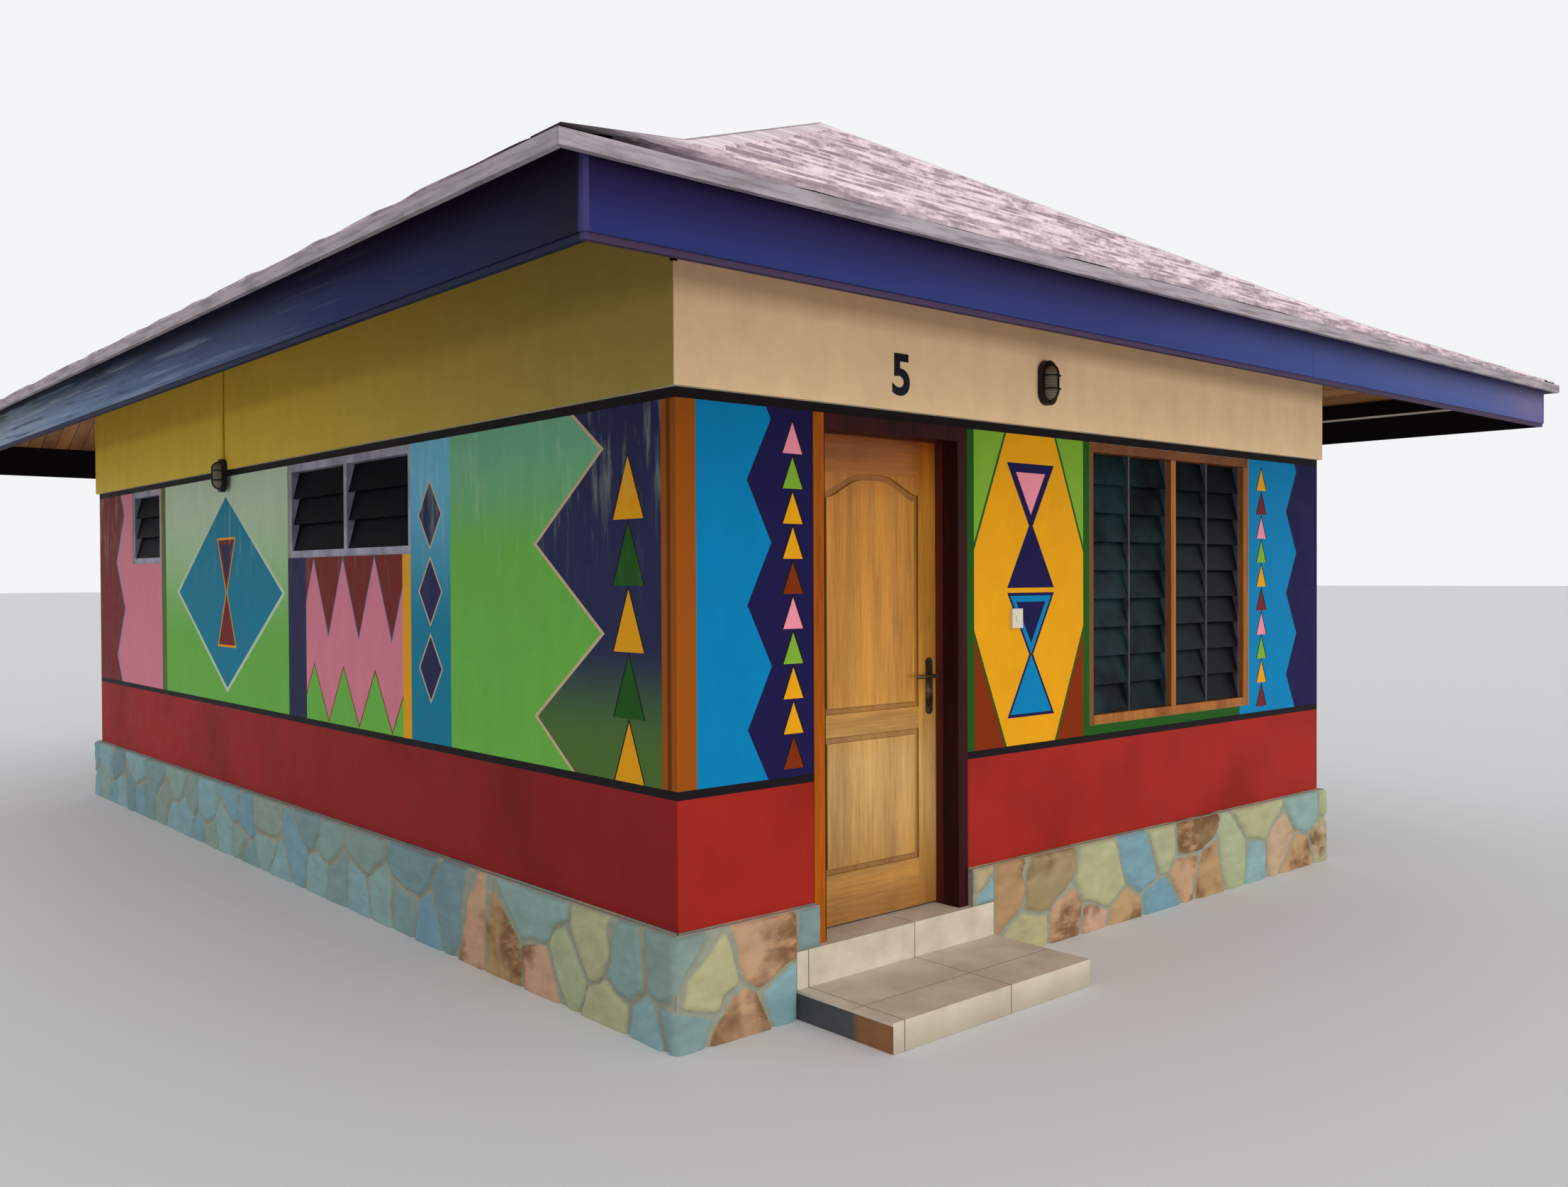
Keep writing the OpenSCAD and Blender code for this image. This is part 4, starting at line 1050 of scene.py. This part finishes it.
def shingle_slope(name, half, out, run, end, turn, material, seed):
    """Lapped courses on one slope that faces -Y before its turn. Row 2k is the foot of course k's
    butt and row 2k + 1 its nose, at a level of equal rise, wavy along the eaves. Each row runs
    between the hips, which have come in by the roof's share of the other run. The butts are thinner
    near the hips and the ridge, so that the caps cover them."""
    count = int(ROOF_RISE / COURSE_RISE)
    rise = np.repeat(np.arange(count + 1) * ROOF_RISE / count, 2)[1:-1]
    columns = int(2 * half / COURSE_CELL)
    share = roof_share(rise)
    nose = np.arange(len(rise)) % 2 == 0
    row = (np.arange(len(rise)) + 1) // 2
    reach = (half - share * end)[:, None]
    along = reach * np.linspace(-1, 1, columns)
    sag = (value_noise(along, row[:, None] * 7.7, 0.42, seed) - 0.5) * BROAD_SAG
    sag += (value_noise(along, row[:, None] * 3.3, 0.11, seed + 1) - 0.5) * FINE_SAG
    sag[[0, -1]] = 0
    curl = value_noise(along, row[:, None] * 5.1, 0.16, seed + 2) * np.where(nose, CURL, 0.0)[:, None]
    from_ridge = (1 - share)[:, None] * run
    from_cap = np.minimum(reach - np.abs(along), from_ridge) - CAP_W + CAP_COVER
    under_caps = np.clip(from_cap / CAP_FADE, CAP_THINNEST, 1.0)
    lift = (np.where(nose, BUTT_T, LAP_T)[:, None] + curl) * under_caps
    inward = share[:, None] * run + sag - out
    level = EAVE_Z + rise[:, None] + sag * (ROOF_RISE / run) * 0.9 + lift
    points = np.stack([along, inward, level], -1)
    foot = points[0] - (0, 0, FOOT_DROP + BUTT_T)
    points = np.concatenate([foot[None], points])
    course = np.concatenate([[-COURSE_HAIR], row - np.where(nose, 0.0, COURSE_HAIR)])
    course = course[:, None] + np.zeros(columns)
    along = np.concatenate([along[:1], along]) + seed * 3.7
    cosine, sine = turn
    placed = points @ np.array([(cosine, sine, 0), (-sine, cosine, 0), (0, 0, 1)])
    faces = grid_faces(len(points), columns)
    add_piece(name, placed, faces, material, "roof_shingle", course=course, along=along)


def add_shingles():
    """The four slopes: for each the half of its eave, that eave's distance from the middle, its run
    and the run that its hips come in by, then the cosine and sine of its turn."""
    material = shingle()
    across = (ROOF_X, ROOF_Y, HIP_RUN, ROOF_X)
    lengthwise = (ROOF_Y, ROOF_X, ROOF_X, HIP_RUN)
    slopes = (("front_shingles", across, (1, 0)), ("back_shingles", across, (-1, 0)),
              ("left_shingles", lengthwise, (0, -1)), ("right_shingles", lengthwise, (0, 1)))
    for seed, (name, size, turn) in enumerate(slopes, 11):
        shingle_slope(name, *size, turn, material, seed)


def facing_run():
    """Walks round the plinth from the steps' left side to their right side, clockwise seen from
    above, with round corners: gives points, outward directions and the length walked."""
    places = [np.array([[THRESHOLD_LOW.x, -PLINTH_Y]])]
    angles = [np.array([-math.pi / 2])]
    turns = np.linspace(0, 1, CORNER_STEPS)
    for number, corner in enumerate(((-1, -1), (-1, 1), (1, 1), (1, -1))):
        angle = -math.pi / 2 - number * math.pi / 2 - turns * math.pi / 2
        middle = np.array(corner) * (PLINTH_X - CORNER_R, PLINTH_Y - CORNER_R)
        places.append(middle + CORNER_R * np.stack([np.cos(angle), np.sin(angle)], -1))
        angles.append(angle)
    places.append(np.array([[THRESHOLD_HIGH.x, -PLINTH_Y]]))
    angles.append(np.array([-math.pi * 5 / 2]))
    place = np.concatenate(places)
    walked = np.concatenate([[0], np.cumsum(np.hypot(*np.diff(place, axis=0).T))])
    s = np.linspace(0, walked[-1], int(walked[-1] / STONE_CELL))
    s = np.unique(np.concatenate([s, walked]))
    x, y, outward = (np.interp(s, walked, known) for known in (*place.T, np.concatenate(angles)))
    return x, y, outward, s


def stone_field(s, v, height, seed):
    """Crazy paving: for each point the nearest stone's number and the distance to its edge, which
    is half the difference of the distances to the two nearest centres."""
    rng = np.random.default_rng(seed)
    count = max(int(s.max() / STONE_PITCH), 1)
    low_s = (np.arange(count) + rng.uniform(-0.28, 0.28, count)) * s.max() / count
    low_v = rng.uniform(0.02, 0.16, count) * height / LAID_HEIGHT
    aside = 0.15 + rng.uniform(-0.09, 0.09, count)
    above = rng.uniform(0.16, 0.26, count) * height / LAID_HEIGHT
    low = np.stack([low_s, low_v], -1)
    high = low + np.stack([aside, above], -1)
    keep = rng.random(count) < UPPER_SHARE
    centres = np.concatenate([low, high[keep]])
    centres = centres[np.argsort(centres[:, 0])]
    warp = (value_noise(s, v, 0.09, seed + 1) - 0.5) * 0.035
    first = np.full(s.shape, np.inf)
    second = np.full(s.shape, np.inf)
    index = np.zeros(s.shape, int)
    for number, (a, b) in enumerate(centres):
        near = slice(*np.searchsorted(s[0], (a - STONE_REACH, a + STONE_REACH)))
        bent = warp[:, near]
        distance = np.hypot((s[:, near] + bent - a) * STONE_SQUASH, v[:, near] + bent - b)
        closer = distance < first[:, near]
        second[:, near] = np.where(closer, first[:, near], np.minimum(second[:, near], distance))
        index[:, near] = np.where(closer, number, index[:, near])
        first[:, near] = np.where(closer, distance, first[:, near])
    return index, (second - first) / 2, centres


def stone_skin(name, run, low, seed, material):
    """Facing stones along a run, from low up to the plinth's top: the skin stands out by an S-curve
    of the distance from the joint or the run's end, with a tilt and a rough face for each stone, and
    turns in over the plinth's top."""
    x, y, outward, s = run
    up = np.linspace(low, PLINTH_TOP - RIM_DROP, int((PLINTH_TOP - low) / STONE_CELL) + 1)
    s_grid, v_grid = np.meshgrid(s, up)
    index, gap, centres = stone_field(s_grid, v_grid - low, PLINTH_TOP - low, seed)
    from_edge = np.minimum(s_grid, s_grid.max() - s_grid)
    if low > 0:
        from_edge = np.minimum(from_edge, v_grid - low)
    gap = np.minimum(gap, from_edge)
    rng = np.random.default_rng(seed + 5)
    tilt = rng.uniform(-1, 1, (len(centres), 2)) * STONE_TILT
    body = s_curve(np.clip((gap - JOINT_HALF * 0.5) / STONE_EDGE, 0, 1))
    aside = s_grid - centres[index, 0]
    above = v_grid - low - centres[index, 1]
    lean = np.clip(tilt[index, 0] * aside + tilt[index, 1] * above, -STONE_LEAN, STONE_LEAN)
    rough = value_noise(s_grid, v_grid, 0.045, 3) * 0.5 + value_noise(s_grid, v_grid, 0.017, 4) * 0.3
    out = MORTAR_OUT + body * (STONE_T + lean + rough * STONE_ROUGH)
    out *= np.clip((PLINTH_TOP - v_grid) / RIM_ROUND, 0.35, 1)
    cold = (centres[:, 0] > COLD_START) & (centres[:, 0] < COLD_END)
    stone = np.where(cold, COLD_SHARE, 1.0)[index] * rng.random(len(centres))[index]
    out = np.concatenate([out, np.full((1, len(s)), -LEDGE_IN)])
    level = np.concatenate([v_grid, np.full((1, len(s)), PLINTH_TOP + LEDGE_RISE)])
    points = np.stack([x + out * np.cos(outward), y + out * np.sin(outward), level], -1)
    stone = np.concatenate([stone, stone[-1:]])
    joint = 1 - np.concatenate([body, body[-1:]])
    faces = grid_faces(len(points), len(s))[:, ::-1]
    add_piece(name, points, faces, material, "rubble_stone", smooth=True, stone=stone, joint=joint)


def level_run(start, end):
    """A straight run along the front of the plinth, walked to the left."""
    s = np.linspace(0, start - end, int((start - end) / STONE_CELL) + 1)
    return start - s, np.full(len(s), -PLINTH_Y), np.full(len(s), -math.pi / 2), s


def add_stone_facing():
    """The facing round the plinth, and a short one beside each jamb of the door."""
    material = facing_stone()
    sill = THRESHOLD_HIGH.z
    left = level_run(FRAME_LOW.x, THRESHOLD_LOW.x)
    right = level_run(THRESHOLD_HIGH.x, FRAME_HIGH.x)
    stone_skin("stone_facing", facing_run(), 0.0, SEED, material)
    stone_skin("stone_facing_left", left, sill, SEED + 20, material)
    stone_skin("stone_facing_right", right, sill, SEED + 30, material)


# The house numeral: its height, its left edge from the wall's corner and its foot above the plinth
NUMERAL_SIZE = 0.235
NUMERAL_LEFT = 1.085
NUMERAL_FOOT = 2.034
NUMERAL_BOLD = 0.006
NUMERAL_T = 0.0012
NUMERAL_GAP = 0.0001
NUMERAL_Y = -BAND_Y - NUMERAL_T - NUMERAL_GAP


def add_numeral():
    """A plain numeral over the doorway, on the band, in blue-black sign paint."""
    paint = clouded("numeral_paint", (0.004, 0.005, 0.014), (0.020, 0.022, 0.045), (24.0, 4.0, 0.6),
                    share=(0.5, 0.8), bump=(0.0006, 0.3), Roughness=0.5, Specular_IOR_Level=0.3)
    curve = bpy.data.curves.new("numeral_outline", "FONT")
    curve.body = "5"
    curve.size = NUMERAL_SIZE
    curve.extrude = NUMERAL_T
    curve.offset = NUMERAL_BOLD
    made = put("numeral_outline", curve)
    bpy.context.view_layer.update()
    mesh = bpy.data.meshes.new_from_object(made)
    bpy.data.objects.remove(made)
    place = Vector((NUMERAL_LEFT - WALL_X, NUMERAL_Y, PLINTH_TOP + NUMERAL_FOOT))
    mesh.transform(Matrix.Translation(place) @ Matrix.Rotation(math.pi / 2, 4, "X"))
    mesh.materials.clear()
    mesh.materials.append(paint)
    piece = put("house_numeral", mesh)
    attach(piece, "root")


def add_camera():
    """The photograph's camera: turned by its yaw and pitch, then rolled about its own axis."""
    forward = Vector((math.sin(CAMERA_YAW) * math.cos(CAMERA_PITCH),
                      math.cos(CAMERA_YAW) * math.cos(CAMERA_PITCH), math.sin(CAMERA_PITCH)))
    level = Vector((math.cos(CAMERA_YAW), -math.sin(CAMERA_YAW), 0))
    upward = level.cross(forward)
    right = level * math.cos(CAMERA_ROLL) + upward * math.sin(CAMERA_ROLL)
    top = upward * math.cos(CAMERA_ROLL) - level * math.sin(CAMERA_ROLL)
    data = bpy.data.cameras.new("camera")
    data.sensor_width = SENSOR_W
    data.lens = FOCAL_PX / PHOTO_W * SENSOR_W
    data.clip_end = 500
    camera = put("camera", data)
    turned = Matrix((right, top, -forward)).transposed().to_4x4()
    camera.matrix_world = Matrix.Translation(CAMERA_AT) @ turned
    bpy.context.scene.camera = camera


def add_floor():
    """A plain pale floor that reaches to the horizon."""
    material = Finish("stage_floor", Roughness=0.9).done(Base_Color=(0.74, 0.73, 0.72))
    side = 200.0
    corners = ((-side, -side), (side, -side), (side, side), (-side, side))
    mesh = bpy.data.meshes.new("stage_floor")
    mesh.from_pydata([(x, y, -TOUCH) for x, y in corners], [], [(0, 1, 2, 3)])
    mesh.materials.append(material)
    floor = put("stage_floor", mesh)
    return floor


def place_light(light, place, turned):
    """Puts a light in the scene, tipped up from straight down and turned about the upright."""
    lamp = put(light.name, light)
    lamp.location = place
    lamp.rotation_euler = (math.radians(turned[0]), 0, math.radians(turned[1]))
    lamp.visible_camera = False
    lamp.visible_glossy = False
    return lamp


def add_low_panel(name, power, place, facing, floor):
    """A long low soft light that shines level and leaves the floor out."""
    light = bpy.data.lights.new(name, "AREA")
    light.shape = "RECTANGLE"
    light.size = 10.0
    light.size_y = 1.0
    light.energy = power
    light.color = (1.0, 0.97, 0.93)
    lamp = place_light(light, place, (90, facing))
    lit = bpy.data.collections.new(name + "_receivers")
    lit.objects.link(floor)
    lit.collection_objects[0].light_linking.link_state = "EXCLUDE"
    lamp.light_linking.receiver_collection = lit


def add_light(floor):
    """A pale sky, plain white to the camera and in reflections, one broad soft sun, and low panels
    before the front and the left wall that reach under the eaves."""
    world = bpy.data.worlds.new("sky")
    bpy.context.scene.world = world
    world.use_nodes = True
    tree = world.node_tree
    link = tree.links.new
    light = tree.nodes["Background"]
    light.inputs["Color"].default_value = (0.90, 0.94, 1.0, 1.0)
    light.inputs["Strength"].default_value = 0.72
    seen = tree.nodes.new("ShaderNodeBackground")
    seen.inputs["Color"].default_value = (0.90, 0.91, 0.92, 1.0)
    path = tree.nodes.new("ShaderNodeLightPath")
    either = path.outputs["Is Camera Ray"]
    for ray in ("Is Glossy Ray", "Is Transmission Ray"):
        most = tree.nodes.new("ShaderNodeMath")
        most.operation = "MAXIMUM"
        link(either, most.inputs[0])
        link(path.outputs[ray], most.inputs[1])
        either = most.outputs[0]
    choice = tree.nodes.new("ShaderNodeMixShader")
    link(either, choice.inputs[0])
    link(light.outputs[0], choice.inputs[1])
    link(seen.outputs[0], choice.inputs[2])
    link(choice.outputs[0], tree.nodes["World Output"].inputs["Surface"])
    sun = bpy.data.lights.new("sun", "SUN")
    sun.energy = 1.0
    sun.angle = math.radians(60)
    sun.color = (1.0, 0.96, 0.90)
    place_light(sun, (0, 0, 0), (60, -16))
    add_low_panel("front_panel", 360, (1.0, -15.0, 0.6), 0, floor)
    add_low_panel("left_panel", 170, (-15.0, 3.0, 0.6), -90, floor)


add_camera()
add_light(add_floor())
finishes = dress_nodes()
add_eave_boards(finishes)
add_conduit_head(finishes)
add_batten()
add_shingles()
add_stone_facing()
add_numeral()

bpy.context.scene.view_settings.view_transform = "Standard"
